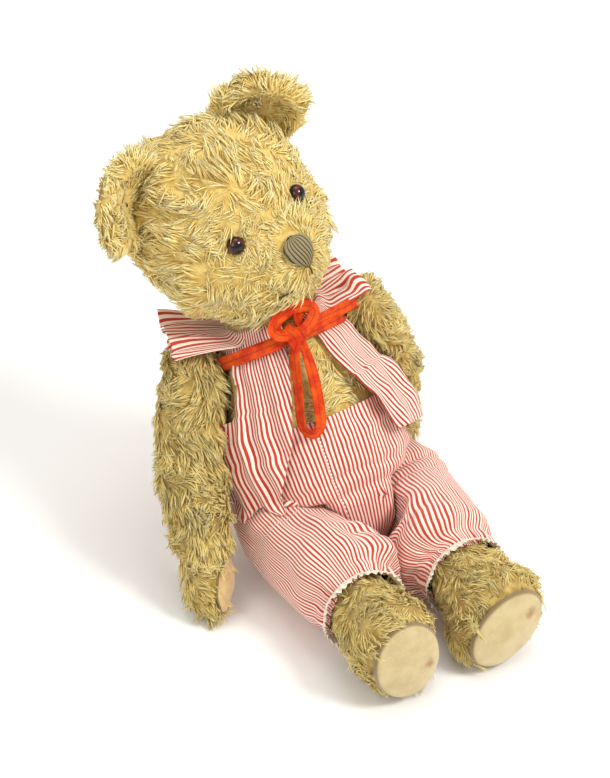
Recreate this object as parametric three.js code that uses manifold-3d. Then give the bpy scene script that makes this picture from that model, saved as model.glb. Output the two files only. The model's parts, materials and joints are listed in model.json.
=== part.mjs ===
// A threadbare, disc-jointed mohair teddy bear, sitting, in a striped cotton bolero and trousers.
// Millimetres, +Z up. The bear faces -Y and its own left is +X. The origin lies on the surface
// that the bear sits on, under the middle of the whole object.

import * as THREE from 'three';
import { mergeVertices } from 'three/addons/utils/BufferGeometryUtils.js';
import Module from 'manifold-3d';

const wasm = await Module();
wasm.setup();

// ---------- driving dimensions ----------

const GAP = 0.3; // clearance on each side of every touching pair
const COVER = 1.5; // mohair plush cover, backing and pile root
const CLOTH = 1.4; // cotton with its folds pressed flat
const FELT_EDGE = 0.3; // seam allowance round a felt pad
const SIDES = 12; // facets round a stuffed form

const HIP_HEIGHT = 35; // hip axis above the surface
const TORSO_LEAN = 29; // degrees, leaning back
const TORSO_SLUMP = 9; // degrees, towards the bear's right
const KEEL_HALF = 17.8; // half width of the torso between the legs
const LEG_ROOM = 39; // distance from the hip axis to the underside of the belly
const TORSO_REACH = 66; // radius round the hip axis that the torso's keel fills
const LEG_INSIDE = 2.2; // a leg's inner side, outwards from its joint plane
const NECK_UP = 139; // neck plane along the torso axis

const SHOULDER_ACROSS = 46;
const SHOULDER_UP = 93;
const SHOULDER_TILT = { left: 15, right: 22 }; // degrees that each arm spreads
const ARM_SWING = { left: -44, right: 10 }; // degrees forward of the torso line
const ARM_BREADTH = { left: 0.88, right: 1 }; // the left arm is packed flatter
const HEAD_CENTRE = new THREE.Vector3(-38, 82, 211);
const HEAD_TURN = { x: -4, y: -16, z: 18.5 }; // degrees

const DISC = { radius: 18, thick: 2.5, bore: 2.0 };
const BOSS = 22; // radius of the flat that each joint's discs clamp
const WASHER = { radius: 8, thick: 1 };
const PIN = { radius: 1.5, head: 2, headRadius: 4.5, bore: 2.2 };
const POCKET = 13; // depth that a joint's hardware takes in the stuffing

const EYE = { radius: 5.5, across: 26, forward: 47, up: 10 };
// Each ear's middle and its turns about the head's X, Y and Z.
const EARS = {
  left: { centre: new THREE.Vector3(50, 0, 37), turns: [27, 16, -36] },
  right: { centre: new THREE.Vector3(-52, 7, 40), turns: [12, -20, 20] },
};
const RIBBON = { width: 9.5, thick: 1.2, over: 4.2, up: 106, reach: 60 };

const TROUSERS = { over: 0.5, waist: 78, hipHole: 26 };
const VEST = { over: 2.4, hem: 38 };
const SOLE = { inset: 4.5, card: 2, cardInset: 7 }; // a felt pad with a card insole behind it
const CUFF = 94; // gathered end of a trouser leg, out from the hip axis

const MOHAIR = { color: 0xd3b67e, roughness: 0.95, metalness: 0 };
const STUFFING = { color: 0xcfb78a, roughness: 1, metalness: 0 };
const FELT = { color: 0xdcc394, roughness: 0.95, metalness: 0 };
const COTTON = { color: 0xdd8a7c, roughness: 0.9, metalness: 0 };
const RED = { color: 0xc8260f, roughness: 0.6, metalness: 0 };
const THREAD = { color: 0x6b5d4a, roughness: 0.9, metalness: 0 };
const GLASS = { color: 0x3a1d0c, roughness: 0.1, metalness: 0 };
const CARD = { color: 0x9a7b55, roughness: 0.9, metalness: 0 };
const STEEL = { color: 0x8b8680, roughness: 0.5, metalness: 1 };
const LACE = { color: 0xf2ece0, roughness: 0.9, metalness: 0 };

// ---------- solids ----------

function solidOf(geometry) {
  const bare = geometry.clone();
  bare.deleteAttribute('normal');
  bare.deleteAttribute('uv');
  const merged = mergeVertices(bare, 1e-4);
  const mesh = new wasm.Mesh({
    numProp: 3,
    vertProperties: new Float32Array(merged.attributes.position.array),
    triVerts: new Uint32Array(merged.index.array),
  });
  return new wasm.Manifold(mesh);
}

function geometryOf(solid) {
  const mesh = solid.getMesh();
  const geometry = new THREE.BufferGeometry();
  geometry.setAttribute('position', new THREE.BufferAttribute(mesh.vertProperties, 3));
  geometry.setIndex(new THREE.BufferAttribute(mesh.triVerts, 1));
  geometry.computeVertexNormals();
  return geometry;
}

function join(solids) {
  return solids.reduce((whole, solid) => whole.add(solid));
}

function cut(solid, tools) {
  return tools.reduce((rest, tool) => rest.subtract(tool), solid);
}

const degrees = THREE.MathUtils.degToRad;

// A frame that has its origin at a point and its Z along an axis.
function frameAt(point, axis) {
  const turn = new THREE.Quaternion();
  turn.setFromUnitVectors(new THREE.Vector3(0, 0, 1), axis.clone().normalize());
  return new THREE.Matrix4().compose(point, turn, new THREE.Vector3(1, 1, 1));
}

// A round rod or disc along a frame's Z, from one station to another.
function rod(frame, radius, from, to, sides = 14) {
  const geometry = new THREE.CylinderGeometry(radius, radius, to - from, sides);
  geometry.rotateX(Math.PI / 2);
  geometry.translate(0, 0, (from + to) / 2);
  return solidOf(geometry.applyMatrix4(frame));
}

// A block that fills everything beyond a station along a frame's Z.
function beyond(frame, station, size = 500) {
  const geometry = new THREE.BoxGeometry(size, size, size);
  geometry.translate(0, 0, station + size / 2);
  return solidOf(geometry.applyMatrix4(frame));
}

// A block that fills everything below a station along a frame's Z.
function below(frame, station, size = 500) {
  const geometry = new THREE.BoxGeometry(size, size, size);
  geometry.translate(0, 0, station - size / 2);
  return solidOf(geometry.applyMatrix4(frame));
}

// A turned ring or pin round a frame's Z. Each profile point is [radius, station].
function turned(frame, profile, sides) {
  const outline = profile.map(([radius, station]) => new THREE.Vector2(radius, station));
  const geometry = new THREE.LatheGeometry(outline, sides);
  geometry.rotateX(Math.PI / 2);
  return solidOf(geometry.applyMatrix4(frame));
}

function ringProfile(inner, outer, from, to) {
  return [[inner, from], [outer, from], [outer, to], [inner, to], [inner, from]];
}

function block(low, high) {
  const size = new THREE.Vector3().subVectors(high, low);
  const geometry = new THREE.BoxGeometry(size.x, size.y, size.z);
  geometry.translate((low.x + high.x) / 2, (low.y + high.y) / 2, (low.z + high.z) / 2);
  return solidOf(geometry);
}

function ellipsoid(centre, radii, turn = new THREE.Euler(), around = SIDES, along = 12) {
  const geometry = new THREE.SphereGeometry(1, around, along);
  geometry.rotateX(Math.PI / 2);
  geometry.scale(radii.x, radii.y, radii.z);
  geometry.applyMatrix4(new THREE.Matrix4().makeRotationFromEuler(turn));
  geometry.translate(centre.x, centre.y, centre.z);
  return solidOf(geometry);
}

// A stuffed form along Z. Each station is [z, centre x, centre y, half x, half y, twist].
// grow moves its surface outwards by that much.
function stuffedForm(stations, grow = 0, sides = SIDES) {
  const points = [];
  const triangles = [];
  const last = stations.length - 1;
  stations.forEach(([z, cx, cy, hx, hy, twist = 0], i) => {
    const lift = i === 0 ? -grow : i === last ? grow : 0;
    const turn = degrees(twist);
    for (let k = 0; k < sides; k += 1) {
      const angle = (2 * Math.PI * k) / sides;
      const x = (hx + grow) * Math.cos(angle);
      const y = (hy + grow) * Math.sin(angle);
      points.push(cx + x * Math.cos(turn) - y * Math.sin(turn));
      points.push(cy + x * Math.sin(turn) + y * Math.cos(turn));
      points.push(z + lift);
    }
  });
  for (let i = 0; i < last; i += 1) {
    for (let k = 0; k < sides; k += 1) {
      const a = i * sides + k;
      const b = i * sides + ((k + 1) % sides);
      triangles.push(a, b, b + sides, a, b + sides, a + sides);
    }
  }
  for (const [ring, down] of [[0, true], [last, false]]) {
    const [z, cx, cy] = stations[ring];
    const centre = points.length / 3;
    points.push(cx, cy, z + (down ? -grow : grow));
    for (let k = 0; k < sides; k += 1) {
      const a = ring * sides + k;
      const b = ring * sides + ((k + 1) % sides);
      triangles.push(centre, down ? b : a, down ? a : b);
    }
  }
  const geometry = new THREE.BufferGeometry();
  geometry.setAttribute('position', new THREE.BufferAttribute(new Float32Array(points), 3));
  geometry.setIndex(triangles);
  return solidOf(geometry);
}

function addNode(group, name, solid, look) {
  const mesh = new THREE.Mesh(geometryOf(solid), new THREE.MeshStandardMaterial(look));
  mesh.name = name;
  group.add(mesh);
}

// ---------- the disc joints ----------

// One side of a disc joint: sign is 1 for the limb's side of the plane and -1 for the torso's.
function jointSide(group, frame, name, sign, withPin) {
  const span = (from, to) => (sign > 0 ? [from, to] : [-to, -from]);
  const discFrom = COVER + 2 * GAP;
  const washerFrom = discFrom + DISC.thick + GAP;
  const disc = ringProfile(DISC.bore, DISC.radius, ...span(discFrom, discFrom + DISC.thick));
  addNode(group, `${name}_disc`, turned(frame, disc, 12), CARD);
  const washer = ringProfile(DISC.bore, WASHER.radius, ...span(washerFrom, washerFrom + WASHER.thick));
  addNode(group, `${name}_washer`, turned(frame, washer, 10), STEEL);
  if (withPin) {
    const seat = washerFrom + WASHER.thick + GAP;
    const end = seat + PIN.head;
    const outline = [
      [0, -end], [PIN.headRadius, -end], [PIN.headRadius, -seat], [PIN.radius, -seat],
      [PIN.radius, seat], [PIN.headRadius, seat], [PIN.headRadius, end], [0, end],
    ];
    addNode(group, name.replace(/_limb$|_head$/, '_pin'), turned(frame, outline, 8), STEEL);
  }
}

// The room that a joint's hardware needs inside the stuffing.
function jointPocket(frame, sign) {
  const ends = sign > 0 ? [-2, POCKET] : [-POCKET, 2];
  return rod(frame, DISC.radius + 2 * GAP, ...ends);
}

// ---------- placing ----------

const torsoMatrix = new THREE.Matrix4();
{
  const slump = new THREE.Matrix4().makeRotationY(degrees(-TORSO_SLUMP));
  const lean = new THREE.Matrix4().makeRotationX(degrees(-TORSO_LEAN));
  torsoMatrix.multiplyMatrices(slump, lean);
  torsoMatrix.setPosition(0, 0, HIP_HEIGHT);
}
const headMatrix = new THREE.Matrix4().makeRotationZ(degrees(HEAD_TURN.z));
headMatrix.multiply(new THREE.Matrix4().makeRotationY(degrees(HEAD_TURN.y)));
headMatrix.multiply(new THREE.Matrix4().makeRotationX(degrees(HEAD_TURN.x)));
headMatrix.setPosition(HEAD_CENTRE);

const axisOf = (matrix, x, y, z) => new THREE.Vector3(x, y, z).transformDirection(matrix);
const neckPoint = new THREE.Vector3(0, 0, NECK_UP).applyMatrix4(torsoMatrix);
const neckAxis = axisOf(torsoMatrix, 0, 0, 1).add(axisOf(headMatrix, 0, 0, 1)).normalize();

const neckFrame = frameAt(neckPoint, neckAxis);
const toTorso = torsoMatrix.clone().invert();
const toHead = headMatrix.clone().invert();
const neckInTorso = toTorso.clone().multiply(neckFrame);
const neckInHead = toHead.clone().multiply(neckFrame);

// A frame that looks down through the resting surface: its Z points down.
const surfaceFrame = frameAt(new THREE.Vector3(), new THREE.Vector3(0, 0, -1));

const sideSign = { left: 1, right: -1 };
const shoulderFrame = {};
for (const side of ['left', 'right']) {
  const tilt = degrees(SHOULDER_TILT[side]);
  const point = new THREE.Vector3(sideSign[side] * SHOULDER_ACROSS, 0, SHOULDER_UP);
  const axis = new THREE.Vector3(sideSign[side] * Math.cos(tilt), 0, Math.sin(tilt));
  shoulderFrame[side] = frameAt(point, axis);
}

function hipFrameIn(toLocal, side) {
  const point = new THREE.Vector3(sideSign[side] * (KEEL_HALF + GAP), 0, HIP_HEIGHT);
  const axis = new THREE.Vector3(sideSign[side], 0, 0);
  return toLocal.clone().multiply(frameAt(point, axis));
}

// The underside of the belly faces the hip axis, square to the torso's lean.
const bellyAxis = new THREE.Vector3(0, Math.sin(degrees(TORSO_LEAN)), Math.cos(degrees(TORSO_LEAN)));
const bellyFrame = toTorso.clone().multiply(frameAt(new THREE.Vector3(0, 0, HIP_HEIGHT), bellyAxis));

// ---------- torso ----------

const TORSO = [
  [-35, 0, 4, 9, 16],
  [-29, 0, 4, 24, 30],
  [-17, 0, 4, 36, 43],
  [0, 0, 3, 46, 51],
  [20, 0, 1, 52, 54],
  [42, 0, 0, 54, 55],
  [64, 0, 0, 53, 53],
  [84, 0, 0, 49, 49],
  [102, 0, 0, 45, 45],
  [118, 0, 0, 38, 39],
  [130, 0, 0, 31, 33],
  [150, 0, 0, 24, 26],
];

// The torso's outer form, grown by a layer: bosses at the shoulders, and a keel between the legs.
function torsoForm(grow, openNeck = false) {
  let form = stuffedForm(TORSO, grow);
  for (const side of ['left', 'right']) {
    form = form.add(rod(shoulderFrame[side], BOSS + grow, -16, grow - GAP));
    const thigh = beyond(hipFrameIn(toTorso, side), grow - GAP);
    form = form.subtract(thigh.intersect(below(bellyFrame, LEG_ROOM - grow)));
    form = form.subtract(beyond(shoulderFrame[side], grow - GAP));
  }
  form = form.subtract(beyond(toTorso.clone().multiply(surfaceFrame), -(1.9 - grow)));
  if (openNeck) {
    return form;
  }
  return form.subtract(beyond(neckInTorso, Math.min(grow, 0) - GAP));
}

const torso = new THREE.Group();
torso.applyMatrix4(torsoMatrix);
{
  const frames = [neckInTorso, shoulderFrame.left, shoulderFrame.right];
  for (const side of ['left', 'right']) {
    frames.push(hipFrameIn(toTorso, side));
  }
  const bores = frames.map((frame) => rod(frame, PIN.bore, -12, 4, 8));
  const pockets = frames.map((frame) => jointPocket(frame, -1));
  const skin = torsoForm(0).subtract(torsoForm(-COVER));
  addNode(torso, 'torso_cover', cut(skin, bores), MOHAIR);
  addNode(torso, 'torso_stuffing', cut(torsoForm(-COVER - GAP), pockets), STUFFING);
  const names = ['neck_torso', 'shoulder_left_torso', 'shoulder_right_torso'];
  names.push('hip_left_torso', 'hip_right_torso');
  frames.forEach((frame, i) => jointSide(torso, frame, names[i], -1, false));
}

// ---------- clothes on the torso ----------

function layer(over, thick) {
  return torsoForm(over + thick).subtract(torsoForm(over, true));
}

const armSpace = ['left', 'right'].map((side) => beyond(shoulderFrame[side], -1.5 * GAP));
const FAR = 150;

{
  const waist = block(new THREE.Vector3(-FAR, -FAR, TROUSERS.waist), new THREE.Vector3(FAR, FAR, 2 * FAR));
  const hipHoles = ['left', 'right'].map((side) => rod(hipFrameIn(toTorso, side), TROUSERS.hipHole, -12, 12));
  const trunk = cut(layer(TROUSERS.over, CLOTH), [waist, ...hipHoles, ...armSpace]);
  addNode(torso, 'trousers_trunk', trunk, COTTON);
}

// The bolero's two front edges run down from the bow and part over the chest.
function frontOpening() {
  const shape = new THREE.Shape();
  shape.moveTo(-2, 128);
  shape.lineTo(2, 128);
  shape.lineTo(6, 96);
  shape.quadraticCurveTo(38, 74, 44, 44);
  shape.lineTo(70, 10);
  shape.lineTo(-14, 10);
  shape.quadraticCurveTo(-20, 60, -6, 96);
  shape.closePath();
  const geometry = new THREE.ExtrudeGeometry(shape, { depth: 90, bevelEnabled: false, curveSegments: 6 });
  geometry.rotateX(Math.PI / 2);
  return solidOf(geometry);
}

{
  const underHem = block(new THREE.Vector3(-FAR, -FAR, -FAR), new THREE.Vector3(FAR, FAR, VEST.hem));
  const vest = cut(layer(VEST.over, CLOTH), [underHem, frontOpening(), ...armSpace]);
  addNode(torso, 'vest', vest, COTTON);
}

// One ribbon: a band across the chest, a knot with an upper loop, and a long loop that hangs.
function loopOutline(centreX, centreZ, halfX, halfZ, width) {
  const shape = new THREE.Shape();
  shape.absellipse(centreX, centreZ, halfX, halfZ, 0, 2 * Math.PI);
  const hole = new THREE.Path();
  hole.absellipse(centreX, centreZ, halfX - width, halfZ - width, 0, 2 * Math.PI);
  shape.holes.push(hole);
  const settings = { depth: 90, bevelEnabled: false, curveSegments: 12 };
  const geometry = new THREE.ExtrudeGeometry(shape, settings);
  geometry.rotateX(Math.PI / 2);
  return solidOf(geometry);
}

{
  const { up, reach, over, thick } = RIBBON;
  const half = RIBBON.width / 2;
  const band = block(new THREE.Vector3(-reach, -FAR, up - half), new THREE.Vector3(reach, -8, up + half));
  const upperLoop = loopOutline(-4, up + 7, 14, 9, 6.5);
  const hangingLoop = loopOutline(-8, up - 31, 10, 32, 7.5);
  const strips = join([band, upperLoop, hangingLoop]);
  const knotY = -(43.5 + over + thick + 1.5);
  const knot = ellipsoid(new THREE.Vector3(-4, knotY, up), new THREE.Vector3(8, 5, 7), undefined, 14, 8);
  const strip = cut(layer(over, thick).intersect(strips), armSpace);
  const ribbon = strip.add(knot.subtract(torsoForm(over)));
  addNode(torso, 'ribbon', ribbon, RED);
}

// ---------- head ----------

// The head's outer form: skull, cheeks and a short broad muzzle.
function headForm(grow) {
  const at = (x, y, z) => new THREE.Vector3(x, y, z);
  const skull = ellipsoid(at(0, 0, 0), at(62 + grow, 58 + grow, 57 + grow), undefined, 16, 8);
  const cheeks = ellipsoid(at(0, -16, -17), at(61 + grow, 50 + grow, 44 + grow), undefined, 12, 6);
  const muzzle = ellipsoid(at(0, -44, -15), at(37 + grow, 32 + grow, 29 + grow), undefined, 12, 6);
  const boss = rod(neckInHead, BOSS + grow, -2, 16);
  return join([skull, cheeks, muzzle, boss]).subtract(below(neckInHead, GAP - Math.min(grow, 0)));
}

const head = new THREE.Group();
head.applyMatrix4(headMatrix);
{
  const bore = rod(neckInHead, PIN.bore, -4, 12, 8);
  const sockets = [];
  const wireHoles = [];
  for (const side of [-1, 1]) {
    const centre = new THREE.Vector3(side * EYE.across, -EYE.forward, EYE.up);
    const radius = EYE.radius + GAP;
    sockets.push(ellipsoid(centre, new THREE.Vector3(radius, radius, radius), undefined, 12, 8));
    const back = frameAt(centre, new THREE.Vector3(0, 1, 0));
    wireHoles.push(rod(back, 1.5, 0, 22, 8));
  }
  const skin = headForm(0).subtract(headForm(-COVER));
  addNode(head, 'head_cover', cut(skin, [bore, ...sockets, ...wireHoles]), MOHAIR);
  const filling = headForm(-COVER - GAP);
  const room = [jointPocket(neckInHead, 1), ...sockets, ...wireHoles];
  addNode(head, 'head_stuffing', cut(filling, room), STUFFING);
  jointSide(head, neckInHead, 'neck_head', 1, true);
}

for (const side of ['left', 'right']) {
  const sign = sideSign[side];
  const centre = new THREE.Vector3(sign * EYE.across, -EYE.forward, EYE.up);
  const radii = new THREE.Vector3(EYE.radius, EYE.radius, EYE.radius);
  const back = frameAt(centre, new THREE.Vector3(0, 1, 0));
  const eye = ellipsoid(centre, radii, undefined, 12, 8);
  addNode(head, `eye_${side}`, eye, GLASS);
  addNode(head, `eye_wire_${side}`, rod(back, 0.8, EYE.radius + GAP, 20, 6), STEEL);
}

// An ear is a cupped half disc, open to the front and sewn to the head along its base.
for (const side of ['left', 'right']) {
  const sign = sideSign[side];
  const { centre, turns } = EARS[side];
  const turn = new THREE.Euler(...turns.map(degrees));
  const outer = ellipsoid(centre, new THREE.Vector3(30, 12, 30), turn, 14, 8);
  const hollowOffset = new THREE.Vector3(sign * -1, -11, -2).applyEuler(turn);
  const hollowCentre = centre.clone().add(hollowOffset);
  const hollow = ellipsoid(hollowCentre, new THREE.Vector3(22, 14, 24), turn, 14, 8);
  addNode(head, `ear_${side}`, cut(outer, [hollow, headForm(GAP)]), MOHAIR);
}

{
  const tip = new THREE.Vector3(0, -71, -6);
  const pad = ellipsoid(tip, new THREE.Vector3(9.5, 6, 9.5), undefined, 12, 8);
  addNode(head, 'nose_stitching', pad.subtract(headForm(GAP)), THREAD);
  const drop = ellipsoid(new THREE.Vector3(0, -70, -24), new THREE.Vector3(1.3, 5, 9), undefined, 8, 6);
  const smile = ellipsoid(new THREE.Vector3(0, -65, -33), new THREE.Vector3(9, 5, 1.3), undefined, 8, 6);
  addNode(head, 'mouth_stitching', drop.add(smile).subtract(headForm(GAP)), THREAD);
}

// ---------- arms ----------

// Along the arm: paw tip first, shoulder top last. Across is measured outwards from the joint.
const ARM = [
  [-137, 13, -2, 6, 8],
  [-132, 14, -2, 11, 13],
  [-120, 15, -2, 14.5, 17],
  [-100, 16, -1, 16.5, 19],
  [-76, 19, 0, 20, 23.5],
  [-48, 21, 0, 22, 27],
  [-20, 20.5, 0, 21.5, 26],
  [6, 19.5, 0, 19, 24],
  [23, 19, 0, 15.5, 18.5],
  [32, 18.5, 0, 9, 11],
  [36, 18, 0, 4, 5],
];

function limbForm(stations, sign, grow) {
  const placed = stations.map(([z, cx, cy, hx, hy, twist = 0]) => [z, sign * cx, cy, hx, hy, sign * twist]);
  return stuffedForm(placed, grow);
}

const arms = new THREE.Group();
for (const side of ['left', 'right']) {
  const sign = sideSign[side];
  const arm = new THREE.Group();
  arm.rotation.order = 'YXZ';
  arm.rotation.set(degrees(-ARM_SWING[side]), degrees(-sign * SHOULDER_TILT[side]), 0);
  arm.position.set(sign * SHOULDER_ACROSS, 0, SHOULDER_UP);
  const frame = frameAt(new THREE.Vector3(), new THREE.Vector3(sign, 0, 0));
  const breadth = ARM_BREADTH[side];
  const stations = ARM.map(([z, cx, cy, hx, hy]) => [z, cx * breadth, cy, hx * breadth, hy]);
  const form = (grow) => limbForm(stations, sign, grow)
    .add(rod(frame, BOSS + grow, -2, 12))
    .subtract(below(frame, GAP - Math.min(grow, 0)));
  const padFrame = frameAt(new THREE.Vector3(sign * 8, -6, -118), new THREE.Vector3(-sign, -0.8, -0.25));
  const padRegion = (edge) => {
    const geometry = new THREE.CylinderGeometry(1, 1, 40, 12);
    geometry.rotateX(Math.PI / 2);
    geometry.scale(17 - edge, 11 - edge, 1);
    geometry.translate(0, 0, 20);
    return solidOf(geometry.applyMatrix4(padFrame));
  };
  const skin = form(0).subtract(form(-COVER));
  const bore = rod(frame, PIN.bore, -4, 8, 8);
  addNode(arm, `arm_cover_${side}`, cut(skin, [bore, padRegion(0)]), MOHAIR);
  addNode(arm, `paw_pad_${side}`, skin.intersect(padRegion(FELT_EDGE)), FELT);
  const filling = form(-COVER - GAP).subtract(jointPocket(frame, 1));
  addNode(arm, `arm_stuffing_${side}`, filling, STUFFING);
  jointSide(arm, frame, `shoulder_${side}_limb`, 1, true);
  arms.add(arm);
}
arms.applyMatrix4(torsoMatrix);

// ---------- legs ----------

// Along the leg from the round hip to the sole. Up is the second centre and half size.
function legStations(inward, roll, drop) {
  return [
    [-26, 22, 0, 6, 5],
    [-22, 22, 0, 15, 14],
    [-12, 22.5, 0, 21, 22.5],
    [4, 23, 0, 23, 26],
    [40, 23 - inward * 0.4, 0, 23, 25.5],
    [68, 22 - inward * 0.7, 0, 22, 23.5],
    [84, 22 - inward * 0.8, drop * 0.45, 21.5, 22],
    [102, 22 - inward * 0.8, drop * 0.45, 21.5, 22],
    [114, 22 - inward * 0.9, drop * 0.7, 21.5, 24, roll * 0.4],
    [126, 22 - inward, drop, 23, 30, roll * 0.8],
    [138, 22 - inward, drop, 24.5, 33, roll],
    [148, 22 - inward, drop, 24, 33, roll],
    [153, 22 - inward, drop, 21, 30, roll],
  ];
}

const LEGS = {
  right: { inward: 5, roll: -6, drop: -1.8 },
  left: { inward: 9, roll: -40, drop: -4.9 },
};

const legs = new THREE.Group();
for (const side of ['left', 'right']) {
  const sign = sideSign[side];
  const { inward, roll, drop } = LEGS[side];
  const stations = legStations(inward, roll, drop);
  const leg = new THREE.Group();
  leg.rotation.x = Math.PI / 2;
  leg.position.set(sign * (KEEL_HALF + GAP), 0, HIP_HEIGHT);
  const frame = frameAt(new THREE.Vector3(), new THREE.Vector3(sign, 0, 0));
  // The inner side is flat where it passes the torso, with a low boss at the disc.
  const flat = (station, grow) => below(frame, station).intersect(rod(frame, TORSO_REACH - grow, -60, 60));
  const form = (grow) => {
    const raw = limbForm(stations, sign, grow).subtract(flat(LEG_INSIDE - grow, grow));
    return raw.add(rod(frame, BOSS + grow, GAP - grow, 12));
  };

  const [, soleX, soleY, soleHalfX, soleHalfY, soleTwist] = stations[stations.length - 2];
  const soleAt = stations[stations.length - 1][0];
  // A plate with the sole's outline, set in from its edge, between two stations along the leg.
  const solePlate = (inset, from, to) => stuffedForm([
    [from, sign * soleX, soleY, soleHalfX - inset, soleHalfY - inset, sign * soleTwist],
    [to, sign * soleX, soleY, soleHalfX - inset, soleHalfY - inset, sign * soleTwist],
  ]);
  const feltAt = soleAt - COVER - GAP / 2;
  const skin = form(0).subtract(form(-COVER));
  const bore = rod(frame, PIN.bore, -4, 8, 8);
  addNode(leg, `leg_cover_${side}`, cut(skin, [bore, solePlate(SOLE.inset, feltAt, soleAt + 3)]), MOHAIR);
  const felt = skin.intersect(solePlate(SOLE.inset + FELT_EDGE, feltAt, soleAt + 3));
  addNode(leg, `sole_pad_${side}`, felt, FELT);

  const cardTop = soleAt - COVER - 2 * GAP;
  const cardBottom = cardTop - SOLE.card;
  const insoleRoom = solePlate(SOLE.cardInset - GAP, cardBottom - GAP, soleAt);
  addNode(leg, `insole_${side}`, solePlate(SOLE.cardInset, cardBottom, cardTop), CARD);
  const filling = cut(form(-COVER - GAP), [jointPocket(frame, 1), insoleRoom]);
  addNode(leg, `leg_stuffing_${side}`, filling, STUFFING);
  jointSide(leg, frame, `hip_${side}_limb`, 1, true);

  // A loose trouser leg, gathered at the ankle by an elastic with a frilled edge below it.
  const ankle = { x: sign * (22 - inward * 0.8), y: drop * 0.45 };
  const tube = [
    [-34, 24, 0, 9, 6],
    [-29, 24, 0, 19, 18],
    [-16, 25, 0, 25, 30],
    [4, 26, 0, 27.5, 34.8],
    [38, 26 - inward * 0.4, -0.5, 28, 34.2],
    [66, 24 - inward * 0.7, -1.5, 27.5, 33.2],
    [84, 22 - inward * 0.8, -1.5, 27, 30],
    [CUFF, 22 - inward * 0.8, drop * 0.45, 27.6, 27.6],
  ];
  const outerTube = limbForm(tube, sign, 0);
  const alongLeg = frameAt(new THREE.Vector3(ankle.x, ankle.y, 0), new THREE.Vector3(0, 0, 1));
  const room = join([
    limbForm(stations, sign, 0.8),
    rod(alongLeg, 25.4, 82, CUFF + 8),
    rod(frame, BOSS + 0.8, -2, 14),
  ]);
  addNode(leg, `trouser_leg_${side}`, cut(outerTube, [room, flat(LEG_INSIDE, 0)]), COTTON);

  const cuffFrame = frameAt(new THREE.Vector3(ankle.x, ankle.y, CUFF), new THREE.Vector3(0, 0, 1));
  const elastic = ringProfile(23.4, 24.5, -8, -2);
  addNode(leg, `cuff_elastic_${side}`, turned(cuffFrame, elastic, 16), LACE);
  const frill = [[23.6, -1.2], [24.5, -1.2], [24.5, 0.6], [29, 6.2], [28, 6.8], [23.6, 1], [23.6, -1.2]];
  addNode(leg, `cuff_frill_${side}`, turned(cuffFrame, frill, 16), LACE);
  legs.add(leg);
}

// ---------- the whole bear ----------

const whole = new THREE.Group();
whole.add(torso, head, arms, legs);
whole.updateMatrixWorld(true);
const box = new THREE.Box3().setFromObject(whole, true);
whole.position.set(-(box.min.x + box.max.x) / 2, -(box.min.y + box.max.y) / 2, -box.min.z);
const bear = new THREE.Group();
bear.add(whole);

export default bear;
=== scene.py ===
"""A threadbare, disc-jointed mohair teddy bear in a striped cotton bolero and trousers, sitting.

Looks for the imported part. Metres, +Z up; the bear faces -Y and its own left is +X.
"""

import json
import math

import bpy
import numpy as np
from mathutils import Matrix, Vector, noise
from mathutils.bvhtree import BVHTree
from mathutils.kdtree import KDTree


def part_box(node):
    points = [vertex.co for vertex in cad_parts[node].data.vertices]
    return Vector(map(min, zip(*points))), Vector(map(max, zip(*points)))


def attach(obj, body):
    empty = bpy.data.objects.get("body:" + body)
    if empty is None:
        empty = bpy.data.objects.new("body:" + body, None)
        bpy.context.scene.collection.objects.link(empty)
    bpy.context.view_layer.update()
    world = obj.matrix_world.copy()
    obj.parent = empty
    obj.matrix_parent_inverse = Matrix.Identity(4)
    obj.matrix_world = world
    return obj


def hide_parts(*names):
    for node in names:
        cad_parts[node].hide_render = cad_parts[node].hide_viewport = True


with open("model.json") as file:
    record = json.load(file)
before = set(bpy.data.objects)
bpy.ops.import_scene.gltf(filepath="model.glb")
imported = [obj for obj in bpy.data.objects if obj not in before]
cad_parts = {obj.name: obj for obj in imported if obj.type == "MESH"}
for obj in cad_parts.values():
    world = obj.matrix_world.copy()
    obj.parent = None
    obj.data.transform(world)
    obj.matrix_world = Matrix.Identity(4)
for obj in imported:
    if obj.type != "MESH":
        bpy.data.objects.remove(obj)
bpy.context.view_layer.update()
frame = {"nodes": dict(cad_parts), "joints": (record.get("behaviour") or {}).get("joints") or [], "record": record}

MM = 0.001
TAU = 2 * math.pi

# ---------- driving values, as the part has them ----------

SHOULDER_AT = (46, 93)  # across and up the torso, in mm
SHOULDER_TILT = {"left": 15, "right": 22}
ARM_SWING = {"left": -44, "right": 10}
HEAD_TURN = (-4, -16, 18.5)
EYE_AT = Vector((26, -47, 10)) * MM
STRIPE = 3.0 * MM
SIGN = {"left": 1, "right": -1}
SIDES = ("left", "right")
LEAST_HEIGHT = {"pile": 0.3 * MM, "trunk": 0.45 * MM, "leg": 0.5 * MM, "frill": 0.6 * MM}  # over the table

CAMERA = {"azimuth": 28, "elevation": 36, "away": 1.2, "lens": 92.55, "shift": (-0.0824, 0.0923)}
CAMERA_AIM = Vector((0.0, -0.040, 0.090))  # from the middle of the hip axis, on the surface


# ---------- frames ----------

joints = {j["name"]: j for j in frame["joints"]}


def joint_at(name):
    return Vector(joints[name]["pos_m"])


hip_mid = (joint_at("hip_left") + joint_at("hip_right")) / 2
shoulder_mid = (joint_at("shoulder_left") + joint_at("shoulder_right")) / 2
torso_x = (joint_at("shoulder_left") - joint_at("shoulder_right")).normalized()
torso_z = (shoulder_mid - hip_mid).normalized()
torso_y = torso_z.cross(torso_x)


def matrix_of(x, y, z, origin):
    m = Matrix((x, y, z)).transposed().to_4x4()
    m.translation = origin
    return m


def turn(axis, degrees):
    return Matrix.Rotation(math.radians(degrees), 4, axis)


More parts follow.
